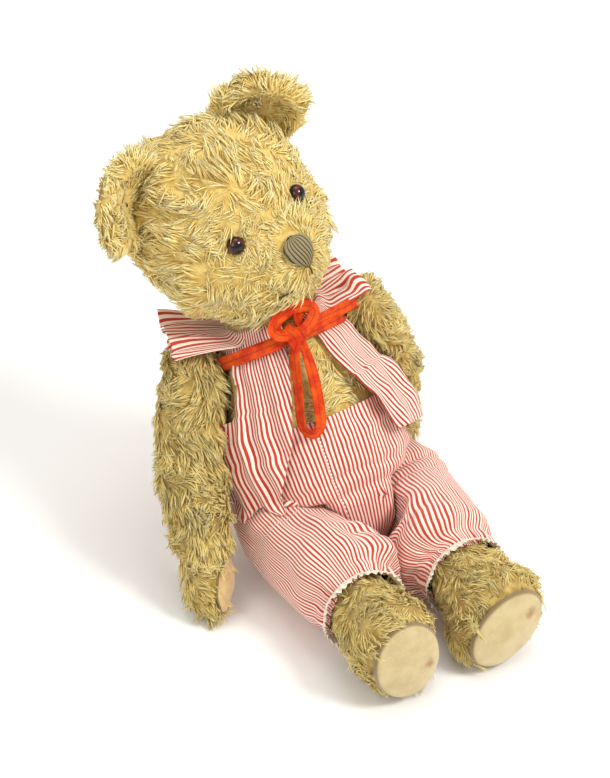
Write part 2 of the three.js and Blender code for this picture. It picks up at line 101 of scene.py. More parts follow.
TORSO = matrix_of(torso_x, torso_y, torso_z, hip_mid)
head_turn = turn("Z", HEAD_TURN[2]) @ turn("Y", HEAD_TURN[1]) @ turn("X", HEAD_TURN[0])


def spot(matrix, x, y, z):
    """A point given in a body's own millimetres."""
    return matrix @ (Vector((x, y, z)) * MM)


def placed(matrix, points):
    """Points (n, 3) taken out of a body's own frame, in metres."""
    m = np.array(matrix)
    return points @ m[:3, :3].T + m[:3, 3]


def local(matrix, points):
    """Points (n, 3) taken into a body's own frame, in metres."""
    return placed(matrix.inverted(), points)


def middle(node):
    low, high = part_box(node)
    return (low + high) / 2


eyes_mid = (middle("eye_left") + middle("eye_right")) / 2
HEAD = Matrix.Translation(eyes_mid - head_turn @ Vector((0, EYE_AT.y, EYE_AT.z))) @ head_turn
ARM = {}
for side in SIDES:
    swing = turn("Y", -SIGN[side] * SHOULDER_TILT[side]) @ turn("X", -ARM_SWING[side])
    place = Matrix.Translation(Vector((SIGN[side] * SHOULDER_AT[0] * MM, 0, SHOULDER_AT[1] * MM)))
    ARM[side] = TORSO @ place @ swing
LEG = {side: matrix_of(Vector((1, 0, 0)), Vector((0, 0, 1)), Vector((0, -1, 0)), joint_at("hip_" + side))
       for side in SIDES}


# ---------- noise ----------

def waves(points, size, seed, count=9):
    """Smooth vector noise from seeded sines: points (n, 3) in metres to (n, 3) of about -1..1."""
    rng = np.random.default_rng(seed)
    out = np.zeros_like(points)
    for _ in range(count):
        k = rng.normal(size=3)
        k *= TAU / (size * rng.uniform(0.7, 1.6)) / np.linalg.norm(k)
        phase = rng.uniform(0, TAU, 3)
        out += np.sin((points @ k)[:, None] + phase) * rng.uniform(0.5, 1.0)
    return out / math.sqrt(count * 0.6)


def unit(v):
    return v / np.maximum(np.linalg.norm(v, axis=-1, keepdims=True), 1e-12)


def smooth_step(x, low, high):
    t = np.clip((np.asarray(x, float) - low) / (high - low), 0, 1)
    return t * t * (3 - 2 * t)


# ---------- meshes ----------

def new_mesh(name, points, faces, smooth=True):
    mesh = bpy.data.meshes.new(name)
    mesh.from_pydata([tuple(p) for p in points], [], [tuple(int(i) for i in f) for f in faces])
    mesh.validate()
    if smooth:
        mesh.polygons.foreach_set("use_smooth", [True] * len(mesh.polygons))
    mesh.update()
    obj = bpy.data.objects.new(name, mesh)
    bpy.context.scene.collection.objects.link(obj)
    return obj


def set_attribute(obj, name, values, kind="FLOAT"):
    attribute = obj.data.attributes.new(name, kind, "POINT")
    field = "value" if kind == "FLOAT" else "vector"
    attribute.data.foreach_set(field, np.asarray(values, np.float32).ravel())


def thicken(obj, thick, offset=0):
    """Gives a sheet its thickness and closes its edges."""
    solidify = obj.modifiers.new("thickness", "SOLIDIFY")
    solidify.thickness = thick
    solidify.offset = offset
    depsgraph = bpy.context.evaluated_depsgraph_get()
    mesh = bpy.data.meshes.new_from_object(obj.evaluated_get(depsgraph))
    old = obj.data
    obj.modifiers.clear()
    obj.data = mesh
    bpy.data.meshes.remove(old)


def give(obj, material):
    obj.data.materials.clear()
    obj.data.materials.append(material)


def dress(obj, material, body, slot, *replaced, fill=None):
    """Gives a piece its material and body, and hides the CAD nodes it stands for. Its slot and fill are not used.
    """
    give(obj, material)
    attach(obj, body)
    if replaced:
        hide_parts(*replaced)
    return obj


def tree_of(*nodes):
    """The surface of CAD nodes, for rays."""
    points = []
    faces = []
    for node in nodes:
        data = frame["nodes"][node].data
        base = len(points)
        points += [v.co.copy() for v in data.vertices]
        faces += [[base + i for i in p.vertices] for p in data.polygons]
    return BVHTree.FromPolygons(points, faces)


def sheet_faces(rows, columns, closed=False, start=0):
    """Quads over a grid of points; closed joins the last column to the first."""
    faces = []
    for i in range(rows - 1):
        for k in range(columns if closed else columns - 1):
            n = (k + 1) % columns
            faces.append((start + i * columns + k, start + i * columns + n,
                          start + (i + 1) * columns + n, start + (i + 1) * columns + k))
    return faces


def flipped(faces):
    return [tuple(reversed(f)) for f in faces]


def wrap_grid(matrix, low, high, tree, rings, around, cap=0.03, centre=(0, 0), reach=0.2):
    """A closed grid of rings laid on the outside of CAD nodes.

    The rays run in to a line along the matrix's Z between two stations, and over a half circle
    of directions at each end.
    """
    rows = []
    turned = matrix.to_3x3()
    span = high - low
    cap_length = cap * math.pi / 2
    total = span + 2 * cap_length
    for i in range(rings):
        s = (i + 0.5) / rings * total
        if s < cap_length:
            tilt = -(1 - s / cap_length) * math.pi / 2
            station = low
        elif s > cap_length + span:
            tilt = (s - cap_length - span) / cap_length * math.pi / 2
            station = high
        else:
            tilt = 0
            station = low + s - cap_length
        row = []
        for k in range(around):
            a = TAU * k / around
            way = Vector((math.cos(a) * math.cos(tilt), math.sin(a) * math.cos(tilt), math.sin(tilt)))
            origin = matrix @ Vector((centre[0], centre[1], station))
            direction = turned @ way
            hit = tree.ray_cast(origin + direction * reach, -direction, reach)[0]
            row.append(hit if hit is not None else origin + direction * 0.01)
        rows.append(row)
    points = [p for row in rows for p in row]
    faces = sheet_faces(rings, around, closed=True)
    points.append(sum(rows[0], Vector()) / around)
    points.append(sum(rows[-1], Vector()) / around)
    bottom, top = len(points) - 2, len(points) - 1
    last = (rings - 1) * around
    for k in range(around):
        n = (k + 1) % around
        faces.append((bottom, n, k))
        faces.append((top, last + k, last + n))
    return np.array([tuple(p) for p in points]), faces


def relax(points, faces, times, keep=0.5):
    """Moves each point towards the middle of its neighbours."""
    edges = set()
    for f in faces:
        for a, b in zip(f, f[1:] + f[:1]):
            edges.add((min(a, b), max(a, b)))
    edges = np.array(sorted(edges))
    count = np.zeros(len(points))
    np.add.at(count, edges[:, 0], 1)
    np.add.at(count, edges[:, 1], 1)
    p = points.copy()
    for _ in range(times):
        total = np.zeros_like(p)
        np.add.at(total, edges[:, 0], p[edges[:, 1]])
        np.add.at(total, edges[:, 1], p[edges[:, 0]])
        p = p * keep + total / count[:, None] * (1 - keep)
    return p


def normals_of(points, faces):
    out = np.zeros_like(points)
    for size in (3, 4):
        f = np.array([g for g in faces if len(g) == size])
        if len(f) == 0:
            continue
        a, b, c = points[f[:, 0]], points[f[:, 1]], points[f[:, 2]]
        n = np.cross(b - a, c - a) if size == 3 else np.cross(points[f[:, 2]] - a, points[f[:, 3]] - b)
        for i in range(size):
            np.add.at(out, f[:, i], n)
    return unit(out)


# ---------- pile ----------

LOCK_STATIONS = np.array([0.0, 0.36, 0.7, 1.0])
LOCK_WIDTHS = np.array([0.9, 1.0, 0.72])


def triangles_of(faces):
    out = []
    for f in faces:
        out.append(f[:3])
        if len(f) == 4:
            out.append((f[0], f[2], f[3]))
    return np.array(out)


def plant(name, points, faces, count, length, flow, seed, mask=None, width=0.66 * MM, lift=0.36, swirl=0.9):
    """Locks of matted mohair on a skin: closed tapered strands that lean with the flow and
    gather into tufts. flow(points) gives a direction, and mask(points) how dense the pile is."""
    rng = np.random.default_rng(seed)
    tris = triangles_of(faces)
    normals = normals_of(points, faces)
    a, b, c = points[tris[:, 0]], points[tris[:, 1]], points[tris[:, 2]]
    weight = np.linalg.norm(np.cross(b - a, c - a), axis=1)
    if mask is not None:
        weight = weight * np.clip(mask((a + b + c) / 3), 0, 1)
    pick = rng.choice(len(tris), count, p=weight / weight.sum())
    u, v = rng.random((2, count))
    flip = u + v > 1
    u, v = np.where(flip, 1 - u, u), np.where(flip, 1 - v, v)
    bary = np.stack([1 - u - v, u, v], 1)[:, :, None]
    root = (points[tris[pick]] * bary).sum(1)
    normal = unit((normals[tris[pick]] * bary).sum(1))
    lean = flow(root) + swirl * waves(root, 26 * MM, seed + 1) + 0.35 * waves(root, 9 * MM, seed + 2)
    lean -= (lean * normal).sum(1, keepdims=True) * normal
    lean = unit(lean)
    jitter = rng.normal(size=(count, 3)) * 0.17
    rise = lift * rng.uniform(0.45, 1.3, (count, 1))
    ahead = unit(lean + normal * rise + jitter)
    size = length * rng.uniform(0.6, 1.2, (count, 1)) * (1 + 0.2 * waves(root, 30 * MM, seed + 3)[:, :1])
    side = unit(np.cross(ahead, normal))
    up = np.cross(side, ahead)
    phase = rng.uniform(0, TAU, (count, 1))
    turns = rng.uniform(2.0, 5.0, (count, 1))
    curl = rng.uniform(0.6, 2.1, (count, 1)) * MM
    lines = []
    for t in LOCK_STATIONS:
        p = root - normal * 0.4 * MM + size * (t * ahead + 0.3 * t * t * (lean - 0.7 * normal * rise))
        p += curl * t * (np.cos(phase + turns * t) * side + np.sin(phase + turns * t) * up)
        lines.append(p)
    tips = lines[-1]
    centres = rng.choice(count, max(count // 8, 1), replace=False)
    tree = KDTree(len(centres))
    for i, centre in enumerate(centres):
        tree.insert(Vector(root[centre] + 0.4 * (tips[centre] - root[centre])), i)
    tree.balance()
    nearest = np.array([tree.find(Vector(p))[1] for p in root + 0.4 * (tips - root)])
    pull = tips[centres[nearest]] - tips
    reach = np.linalg.norm(pull, axis=1, keepdims=True)
    pull *= np.minimum(1, 7 * MM / np.maximum(reach, 1e-9)) * rng.uniform(0.35, 0.85, (count, 1))
    lines = [p + pull * t ** 1.5 for p, t in zip(lines, LOCK_STATIONS)]
    thick = width * rng.uniform(0.65, 1.35, (count, 1))
    verts = np.zeros((count, 10, 3))
    for i in range(3):
        for k in range(3):
            angle = math.pi / 2 + TAU * k / 3
            spread = math.cos(angle) * side + 0.7 * math.sin(angle) * up
            verts[:, i * 3 + k] = lines[i] + spread * thick * LOCK_WIDTHS[i]
    verts[:, 9] = lines[3]
    verts[:, :, 2] = np.maximum(verts[:, :, 2], LEAST_HEIGHT["pile"])
    quads = []
    for i in range(2):
        for k in range(3):
            n = (k + 1) % 3
            quads.append((i * 3 + k, i * 3 + n, i * 3 + 3 + n, i * 3 + 3 + k))
    tips_f = [(6 + k, 6 + (k + 1) % 3, 9) for k in range(3)] + [(0, 2, 1)]
    base = (np.arange(count) * 10)[:, None, None]
    quad_index = (np.array(quads)[None] + base).reshape(-1, 4)
    tri_index = (np.array(tips_f)[None] + base).reshape(-1, 3)
    mesh = bpy.data.meshes.new(name)
    mesh.vertices.add(count * 10)
    mesh.vertices.foreach_set("co", verts.reshape(-1).astype(np.float32))
    loops = np.concatenate([quad_index.ravel(), tri_index.ravel()]).astype(np.int32)
    starts = np.concatenate([np.arange(len(quad_index)) * 4,
                             len(quad_index) * 4 + np.arange(len(tri_index)) * 3]).astype(np.int32)
    mesh.loops.add(len(loops))
    mesh.loops.foreach_set("vertex_index", loops)
    mesh.polygons.add(len(starts))
    mesh.polygons.foreach_set("loop_start", starts)
    mesh.update(calc_edges=True)
    mesh.polygons.foreach_set("use_smooth", [True] * len(starts))
    obj = bpy.data.objects.new(name, mesh)
    bpy.context.scene.collection.objects.link(obj)
    along = np.tile(np.repeat(np.append(LOCK_STATIONS[:3], 1.0), [3, 3, 3, 1]), count)
    set_attribute(obj, "along", along)
    set_attribute(obj, "strand", np.repeat(rng.random(count), 10))
    return obj


# ---------- materials ----------

class Nodes:
    """A short way to write a node tree."""

    def __init__(self, name):
        self.material = bpy.data.materials.new(name)
        self.material.use_nodes = True
        self.tree = self.material.node_tree
        self.tree.nodes.clear()
        self.output = self.tree.nodes.new("ShaderNodeOutputMaterial")

    def add(self, kind, inputs=None, **fields):
        node = self.tree.nodes.new(kind)
        for key, value in fields.items():
            setattr(node, key, value)
        for key, value in (inputs or {}).items():
            self.put(node.inputs[key], value)
        return node

    def put(self, socket, value):
        if isinstance(value, bpy.types.NodeSocket):
            self.tree.links.new(value, socket)
        else:
            socket.default_value = value

    def math(self, operation, a, b=0.0):
        node = self.add("ShaderNodeMath", operation=operation)
        self.put(node.inputs[0], a)
        self.put(node.inputs[1], b)
        return node.outputs[0]

    def times(self, a, b):
        return self.math("MULTIPLY", a, b)

    def mix(self, factor, a, b, mode="MIX"):
        node = self.add("ShaderNodeMix", data_type="RGBA", blend_type=mode)
        self.put(node.inputs[0], factor)
        self.put(node.inputs[6], a)
        self.put(node.inputs[7], b)
        return node.outputs[2]

    def noise(self, vector, scale, detail=3.0, roughness=0.5):
        inputs = {"Vector": vector, "Scale": scale, "Detail": detail, "Roughness": roughness}
        return self.add("ShaderNodeTexNoise", inputs).outputs["Fac"]

    def ramp(self, value, stops):
        node = self.add("ShaderNodeValToRGB", {"Fac": value})
        ramp = node.color_ramp
        while len(ramp.elements) < len(stops):
            ramp.elements.new(0.5)
        for element, (at, colour) in zip(ramp.elements, stops):
            element.position = at
            element.color = colour if len(colour) == 4 else (*colour, 1)
        return node.outputs["Color"]

    def step(self, value, low, high):
        node = self.add("ShaderNodeMapRange", {"Value": value, "From Min": low, "From Max": high})
        node.interpolation_type = "SMOOTHSTEP"
        return node.outputs["Result"]

    def attribute(self, name, output="Fac"):
        return self.add("ShaderNodeAttribute", attribute_name=name).outputs[output]

    def place(self):
        return self.add("ShaderNodeTexCoord").outputs["Object"]

    def bump(self, height, strength, distance):
        inputs = {"Height": height, "Strength": strength, "Distance": distance}
        return self.add("ShaderNodeBump", inputs).outputs["Normal"]

    def finish(self, inputs):
        shader = self.add("ShaderNodeBsdfPrincipled", inputs)
        self.tree.links.new(shader.outputs[0], self.output.inputs["Surface"])
        return self.material


def rgb(*values):
    """sRGB of 0..255 to the linear colour that a shader takes."""
    out = []
    for v in values:
        v /= 255
        out.append(v / 12.92 if v <= 0.04045 else ((v + 0.055) / 1.055) ** 2.4)
    return (*out, 1.0)


def mohair(name, deep, body, tip, dirt, dirty):
    """Pile from its root to its tip, with painted shade at the root and a painted highlight at the tip, and dirt
    and worn places in patches.
    """
    n = Nodes(name)
    at = n.place()
    along = n.attribute("along")
    strand = n.attribute("strand")
    # Painted shade and highlight: each lock darkens to deep at its root and lightens to tip at its end.
    root_shade_tip_highlight = n.ramp(along, [(0.0, deep), (0.45, body), (1.0, tip)])
    vary = n.ramp(strand, [(0.0, rgb(226, 204, 150)), (0.3, rgb(250, 244, 226)), (1.0, rgb(255, 255, 250))])
    colour = n.mix(0.8, root_shade_tip_highlight, vary, "MULTIPLY")
    patch = n.step(n.noise(at, 38, 4, 0.6), 0.52, 0.68)
    colour = n.mix(n.times(patch, dirty), colour, dirt)
    worn = n.step(n.noise(at, 95, 3, 0.6), 0.55, 0.75)
    colour = n.mix(n.times(worn, 0.35), colour, deep)
    fine = n.noise(at, 1500, 2, 0.7)
    normal = n.bump(fine, 0.5, 0.0004)
    return n.finish({"Base Color": colour, "Roughness": 0.62, "Normal": normal, "Sheen Weight": 0.25,
                     "Sheen Roughness": 0.4, "Specular IOR Level": 0.35})


def skin_of(name, deep, body, holes=0.0):
    """The woven backing that shows between the locks."""
    n = Nodes(name)
    at = n.place()
    mottle = n.noise(at, 120, 4, 0.6)
    colour = n.mix(n.step(mottle, 0.35, 0.65), deep, body)
    hole = n.step(n.noise(at, 170, 3, 0.6), 0.66, 0.72)
    colour = n.mix(n.times(hole, holes), colour, rgb(84, 72, 50))
    height = n.noise(at, 700, 4, 0.7)
    return n.finish({"Base Color": colour, "Roughness": 0.95, "Normal": n.bump(height, 0.8, 0.0008),
                     "Sheen Weight": 0.2})


def plain(name, colour, roughness=0.8, metallic=0.0, scale=400):
    n = Nodes(name)
    grain = n.noise(n.place(), scale, 4, 0.6)
    dark = (*(c * 0.7 for c in colour[:3]), 1.0)
    return n.finish({"Base Color": n.mix(grain, dark, colour), "Roughness": roughness, "Metallic": metallic,
                     "Normal": n.bump(grain, 0.3, 0.0004)})


# Deep, body and tip colours of each pile: the deep root is painted shade, the pale tip a painted highlight.
STRAW = mohair("straw_pile", rgb(214, 178, 88), rgb(242, 222, 144), rgb(252, 244, 196),
               dirt=rgb(204, 188, 128), dirty=0.25)
TAN = mohair("tan_pile", rgb(172, 142, 66), rgb(222, 198, 122), rgb(240, 228, 164),
             dirt=rgb(172, 162, 108), dirty=0.45)
STRAW_SKIN = skin_of("straw_skin", rgb(202, 168, 84), rgb(228, 202, 122))
TAN_SKIN = skin_of("tan_skin", rgb(156, 128, 62), rgb(202, 174, 98), 0.7)


# ---------- head ----------

NOSE_AT = (-1.5, -3.0)  # the nose's middle across and up on the muzzle, in mm
MUZZLE = ((0, -44, -15), (37, 32, 29))
PILE_DEPTH = 2.2 * MM


def away_from(point, down):
    """A flow of pile that leads away from a point and a little down."""
    target = np.array(point)
    return lambda points: unit(points - target) + np.array([0, 0, -down])


def steady(direction):
    """A flow of pile that leads one way."""
    return lambda points: np.tile(direction, (len(points), 1))


def bumpy(points, faces, size, amount, seed):
    n = normals_of(points, faces)
    return points + n * waves(points, size, seed)[:, :1] * amount


def near(points, centre, radius):
    return np.exp(-((np.linalg.norm(points - np.array(centre), axis=1) / radius) ** 2))


def head():
    tree = tree_of("head_cover", "eye_left", "eye_right")
    points, faces = wrap_grid(HEAD, -6 * MM, -6 * MM, tree, 66, 76, 60 * MM, (0, -8 * MM))
    points = relax(points, faces, 8)
    normals = normals_of(points, faces)
    points = points - normals * PILE_DEPTH
    for side in SIDES:
        points -= normals * near(points, middle("eye_" + side), 7 * MM)[:, None] * 2.6 * MM
    chin = spot(HEAD, -6, -44, -44)
    points += normals * near(points, chin, 27 * MM)[:, None] * 7.5 * MM
    points = bumpy(points, faces, 24 * MM, 1.0 * MM, 3)
    points = bumpy(points, faces, 9 * MM, 0.5 * MM, 4)
    skin = new_mesh("head_skin", points, faces)
    dress(skin, STRAW_SKIN, "head", "mohair_straw", "head_cover", "head_stuffing", fill=1.0)
    nose = np.array(HEAD @ Vector((0, -78 * MM, -6 * MM)))
    eyes = [np.array(middle("eye_" + side)) for side in SIDES]

    def mask(p):
        m = np.ones(len(p))
        for eye in eyes:
            m *= 1 - 1.1 * near(p, eye, 3.7 * MM)
        q = local(HEAD, p) / MM
        bare = (np.abs(q[:, 0] - NOSE_AT[0]) < 8.5) & (np.abs(q[:, 2] - NOSE_AT[1]) < 8.5) & (q[:, 1] < -62)
        m[bare] = 0
        m *= 1 - 0.7 * np.exp(-(((q[:, 0] + 19) / 6) ** 2 + ((q[:, 2] + 23) / 3) ** 2)) * (q[:, 1] < -40)
        return np.clip(m, 0, 1)

    def muzzle(p):
        return mask(p) * near(p, nose, 40 * MM)

    def rest(p):
        return mask(p) * (1 - near(p, nose, 36 * MM))
    longer = plant("head_pile", points, faces, 9800, 10.5 * MM, away_from(nose, 0.35), 11, rest)
    shorter = plant("muzzle_pile", points, faces, 3000, 6.5 * MM, away_from(nose, 0.25), 12, muzzle, 0.5 * MM)
    dress(longer, STRAW, "head", "mohair_straw")
    dress(shorter, STRAW, "head", "mohair_straw")


head()


# ---------- ears ----------

EAR = {"outer": (30, 12, 30), "inner": (22, 14, 24)}
EAR_HOLLOW = {"left": (-1, -11, -2), "right": (-4, -14, -3)}
EAR_AT = {"left": (50, 0, 37), "right": (-52, 7, 40)}
EAR_TURNS = {"left": (27, 16, -36), "right": (12, -20, 20)}


def ear(side):
    sign = SIGN[side]
    place = Matrix.Translation(Vector(EAR_AT[side]) * MM)
    about_x, about_y, about_z = EAR_TURNS[side]
    matrix = HEAD @ place @ turn("X", about_x) @ turn("Y", about_y) @ turn("Z", about_z)
    rx, ry, rz = EAR["outer"]
    ix, iy, iz = EAR["inner"]
    hx, hy, hz = EAR_HOLLOW[side]
    rings, around = 16, 44
    points = []
    for face in (1, -1):
        for i in range(rings + (face < 0)):
            rho = (i / rings) if face > 0 else 1 - i / rings
            rho = math.sin(rho * math.pi / 2)
            for k in range(around):
                a = TAU * k / around
                x, z = rx * rho * math.cos(a), rz * rho * math.sin(a)
                bulge = ry * math.sqrt(max(0, 1 - rho * rho))
                if face > 0:
                    y = bulge * 0.82
                else:
                    y = -bulge
                    hollow = 1 - ((x - sign * hx) / ix) ** 2 - ((z - hz) / iz) ** 2
                    if hollow > 0:
                        y = max(y, hy + iy * math.sqrt(hollow))
                    y = min(y, bulge * 0.82 - 2.5) if rho < 0.96 else y
                points.append(matrix @ Vector((x * MM, y * MM, z * MM)))
    faces = sheet_faces(2 * rings + 1, around, closed=True)
    points = np.array([tuple(p) for p in points])
    points = relax(points, faces, 3)
    backward = np.array(matrix.to_3x3() @ Vector((0, 1, 0)))
    if normals_of(points, faces)[around * rings // 2] @ backward < 0:
        faces = flipped(faces)
    points -= normals_of(points, faces) * 1.2 * MM
    points = bumpy(points, faces, 14 * MM, 0.8 * MM, 21 + sign)
    skin = new_mesh(f"ear_skin_{side}", points, faces)

    def cup(p):
        q = local(matrix, p) / MM
        return ((q[:, 0] / 21) ** 2 + (q[:, 2] / 23) ** 2 < 1) & (q[:, 1] < 2)

    def outside(p):
        return np.where(cup(p), 0.0, 1.0)

    def inside(p):
        return np.where(cup(p), 1.0, 0.0)
    outward = away_from(matrix.translation, -0.1)
    pile = plant(f"ear_pile_{side}", points, faces, 1700, 9 * MM, outward, 31 + sign, outside)
    lining = plant(f"ear_lining_{side}", points, faces, 500, 6 * MM, outward, 41 + sign, inside)
    dress(skin, STRAW_SKIN, "head", "mohair_straw", f"ear_{side}", fill=0.2)
    dress(pile, STRAW, "head", "mohair_straw")
    dress(lining, TAN, "head", "mohair_straw")


for side in SIDES:
    ear(side)


# ---------- torso ----------

# How far the belly reaches from the hip axis, at degrees above the torso's front.
LAP = ((-90, 36), (-56, 37.4), (-9.5, 43.5), (16.6, 50), (30, 59), (46, 77), (52, 200), (90, 400))


def tuck(points, inside=0.0):
    """Draws the belly's underside in to the reach that the lap leaves it."""
    q = local(TORSO, points) / MM
    angle = np.degrees(np.arctan2(q[:, 2], -q[:, 1]))
    reach = np.interp(angle, [a for a, _ in LAP], [r for _, r in LAP]) - inside
    away = np.hypot(q[:, 1], q[:, 2])
    scale = np.where((q[:, 1] < 0) & (away > reach), reach / np.maximum(away, 1e-6), 1.0)
    q[:, 1:] *= scale[:, None]
    return placed(TORSO, q * MM)


def torso():
    tree = tree_of("torso_cover")
    points, faces = wrap_grid(TORSO, 0, 100 * MM, tree, 60, 56, 40 * MM)
    points = relax(points, faces, 3)
    points -= normals_of(points, faces) * 1.8 * MM
    points = tuck(bumpy(points, faces, 20 * MM, 0.7 * MM, 51), 4.5)
    skin = new_mesh("torso_skin", points, faces)
    dress(skin, STRAW_SKIN, "torso", "mohair_straw", "torso_cover", "torso_stuffing", fill=1.0)

    def chest(p):
        q = local(TORSO, p) / MM
        bare_neck = (q[:, 2] > 122) * 0.6
        front = (q[:, 1] < -20) & (q[:, 2] > 62) & (q[:, 2] < 122) & (q[:, 0] > -22) & (q[:, 0] < 40)
        return front * 1.0 + bare_neck
    down = steady(np.array(-torso_z))
    pile = plant("chest_pile", points, faces, 1500, 8 * MM, down, 52, chest, swirl=1.6)
    dress(pile, STRAW, "torso", "mohair_straw")


torso()


# ---------- arms ----------

def arm(side):
    tree = tree_of(f"arm_cover_{side}", f"paw_pad_{side}")
    points, faces = wrap_grid(ARM[side], -112 * MM, 6 * MM, tree, 70, 44, 24 * MM, (SIGN[side] * 17 * MM, 0))
    points = relax(points, faces, 4)
    points -= normals_of(points, faces) * PILE_DEPTH
    points = bumpy(points, faces, 22 * MM, 1.3 * MM, 61 + SIGN[side])
    points = bumpy(points, faces, 9 * MM, 0.6 * MM, 63 + SIGN[side])
    skin = new_mesh(f"arm_skin_{side}", points, faces)
    dress(skin, TAN_SKIN, f"arm_{side}", "mohair_tan", f"arm_cover_{side}", f"arm_stuffing_{side}", fill=1.0)
    down = steady(np.array(-(ARM[side].to_3x3() @ Vector((0, 0, 1)))))
    pad = np.array(spot(ARM[side], SIGN[side] * 6, -10, -118))

    def mask(p):
        q = local(ARM[side], p) / MM
        inner = np.where((q[:, 0] * SIGN[side] < 3) & (q[:, 2] > -45), 0.25, 1.0)
        inner *= 1 - 0.75 * smooth_step(waves(p, 20 * MM, 77)[:, 0], 0.9, 1.4)
        return inner * (1 - 1.1 * near(p, pad, 13 * MM))
    pile = plant(f"arm_pile_{side}", points, faces, 7600, 9.5 * MM, down, 71 + SIGN[side], mask, swirl=1.3)
    dress(pile, TAN, f"arm_{side}", "mohair_tan")


for side in SIDES:
    arm(side)


# ---------- feet ----------

SOLES = {"right": (17.0, -1.8, -6), "left": (13.0, -4.9, -40)}  # middle across and up, and roll
SOLE_HALF = (20.6, 27.2)


def foot(side):
    tree = tree_of(f"leg_cover_{side}", f"sole_pad_{side}")
    points, faces = wrap_grid(LEG[side], -4 * MM, 132 * MM, tree, 76, 48, 20 * MM, (SIGN[side] * 18 * MM, 0))
    points = relax(points, faces, 3)
    s_at = local(LEG[side], points)[:, 2:3] / MM
    plump = 2.4 * smooth_step(s_at, 98, 112) * smooth_step(146 - s_at, 0, 10)
    points -= normals_of(points, faces) * (1.8 - plump) * MM
    points = bumpy(points, faces, 18 * MM, 0.8 * MM, 81 + SIGN[side])
    slack = smooth_step(84 - s_at, 0, 14) * smooth_step(local(LEG[side], points)[:, 1:2] / MM, -8, 8)
    points -= normals_of(points, faces) * 5.5 * slack * MM
    skin = new_mesh(f"leg_skin_{side}", points, faces)
    dress(skin, TAN_SKIN, f"leg_{side}", "mohair_tan", f"leg_cover_{side}", f"leg_stuffing_{side}", fill=1.0)

    def mask(p):
        q = local(LEG[side], p) / MM
        x0, y0, roll = SOLES[side]
        twist = math.radians(SIGN[side] * roll)
        dx, dy = q[:, 0] - SIGN[side] * x0, q[:, 1] - y0
        u = dx * math.cos(twist) + dy * math.sin(twist)
        v = dy * math.cos(twist) - dx * math.sin(twist)
        off_sole = (u / (SOLE_HALF[0] + 0.3)) ** 2 + (v / (SOLE_HALF[1] + 0.3)) ** 2 > 1
        thin = 1 - 0.9 * smooth_step(waves(p, 13 * MM, 97)[:, 0], 1.0, 1.5)
        return thin * np.where((q[:, 2] > 90) & ((q[:, 2] < 147) | off_sole), 1.0, 0.0)

    def flow(p):
        toes = np.zeros_like(p)
        toes[:, 1] = -0.5
        radial = p - np.array(LEG[side] @ Vector((SIGN[side] * 17 * MM, 0, 0)))
        radial[:, 1] = 0
        return toes + 0.5 * unit(radial) + np.array([0, 0, -0.25])
    pile = plant(f"foot_pile_{side}", points, faces, 3600, 8.5 * MM, flow, 91 + SIGN[side], mask,
                 width=0.5 * MM, lift=0.35)
    dress(pile, TAN, f"leg_{side}", "mohair_tan")


for side in SIDES:
    foot(side)


# ---------- cloth ----------

def striped_cotton(name, seam_across=None, seam_along=None):
    """Candy stripes that follow the cloth's own measure: cloth.x runs across them, in mm."""
    n = Nodes(name)
    at = n.place()
    cloth = n.add("ShaderNodeSeparateXYZ", {"Vector": n.attribute("cloth", "Vector")})
    across, along = cloth.outputs["X"], cloth.outputs["Y"]
    pull = n.times(n.math("SUBTRACT", n.noise(at, 70, 3, 0.5), 0.5), 0.9)
    phase = n.math("FRACT", n.math("DIVIDE", n.math("ADD", across, pull), STRIPE / MM))
    off = n.times(n.math("ABSOLUTE", n.math("SUBTRACT", phase, 0.5)), 2.0)
    red = n.step(off, 0.56, 0.44)
    faded = n.noise(at, 30, 3, 0.6)
    white = n.mix(faded, rgb(250, 238, 220), rgb(244, 222, 204))
    dye = n.mix(faded, rgb(186, 36, 26), rgb(198, 60, 44))
    colour = n.mix(red, white, dye)
    if seam_across is not None:
        away = n.math("ABSOLUTE", n.math("SUBTRACT", across, seam_across))
        dash = n.step(n.math("FRACT", n.math("DIVIDE", along, 2.4)), 0.45, 0.55)
        stitch = n.times(n.step(away, 0.55, 0.3), dash)
        # Painted shade in the fold along the seam, then white stitches on it.
        colour = n.mix(n.step(away, 1.3, 0.5), colour, n.mix(0.35, colour, rgb(120, 40, 34)))
        colour = n.mix(stitch, colour, rgb(248, 244, 236))
    if seam_along is not None:
        away = n.math("ABSOLUTE", n.math("SUBTRACT", along, seam_along))
        dash = n.step(n.math("FRACT", n.math("DIVIDE", across, 2.2)), 0.45, 0.55)
        # Painted shade in the fold along the seam, then white stitches on it.
        colour = n.mix(n.step(away, 0.9, 0.4), colour, n.mix(0.5, colour, rgb(110, 36, 30)))
        colour = n.mix(n.times(n.step(away, 0.5, 0.25), dash), colour, rgb(248, 244, 236))
    warp = n.math("SINE", n.times(across, TAU / 0.36))
    weft = n.math("SINE", n.times(along, TAU / 0.36))
    weave = n.times(warp, weft)
    crease = n.noise(at, 160, 4, 0.6)
    height = n.math("ADD", n.times(weave, 0.08), crease)
    return n.finish({"Base Color": colour, "Roughness": 0.88, "Normal": n.bump(height, 0.35, 0.0012),
                     "Sheen Weight": 0.25, "Sheen Roughness": 0.6, "Specular IOR Level": 0.25})


COTTON = striped_cotton("cotton")
COTTON_TRUNK = striped_cotton("cotton_trunk", seam_across=-14.4)
COTTON_LEG = striped_cotton("cotton_leg", seam_along=30.0)


def cloth_piece(name, points, faces, measure, material, body, slot="striped_cotton", thick=0.7 * MM):
    """A sheet with its own measure (across, along) in mm, made as thick as the cloth."""
    obj = new_mesh(name, points, faces)
    flat = np.zeros((len(points), 3))
    flat[:, :2] = measure
    set_attribute(obj, "cloth", flat, "FLOAT_VECTOR")
    thicken(obj, thick)
    return dress(obj, material, body, slot)


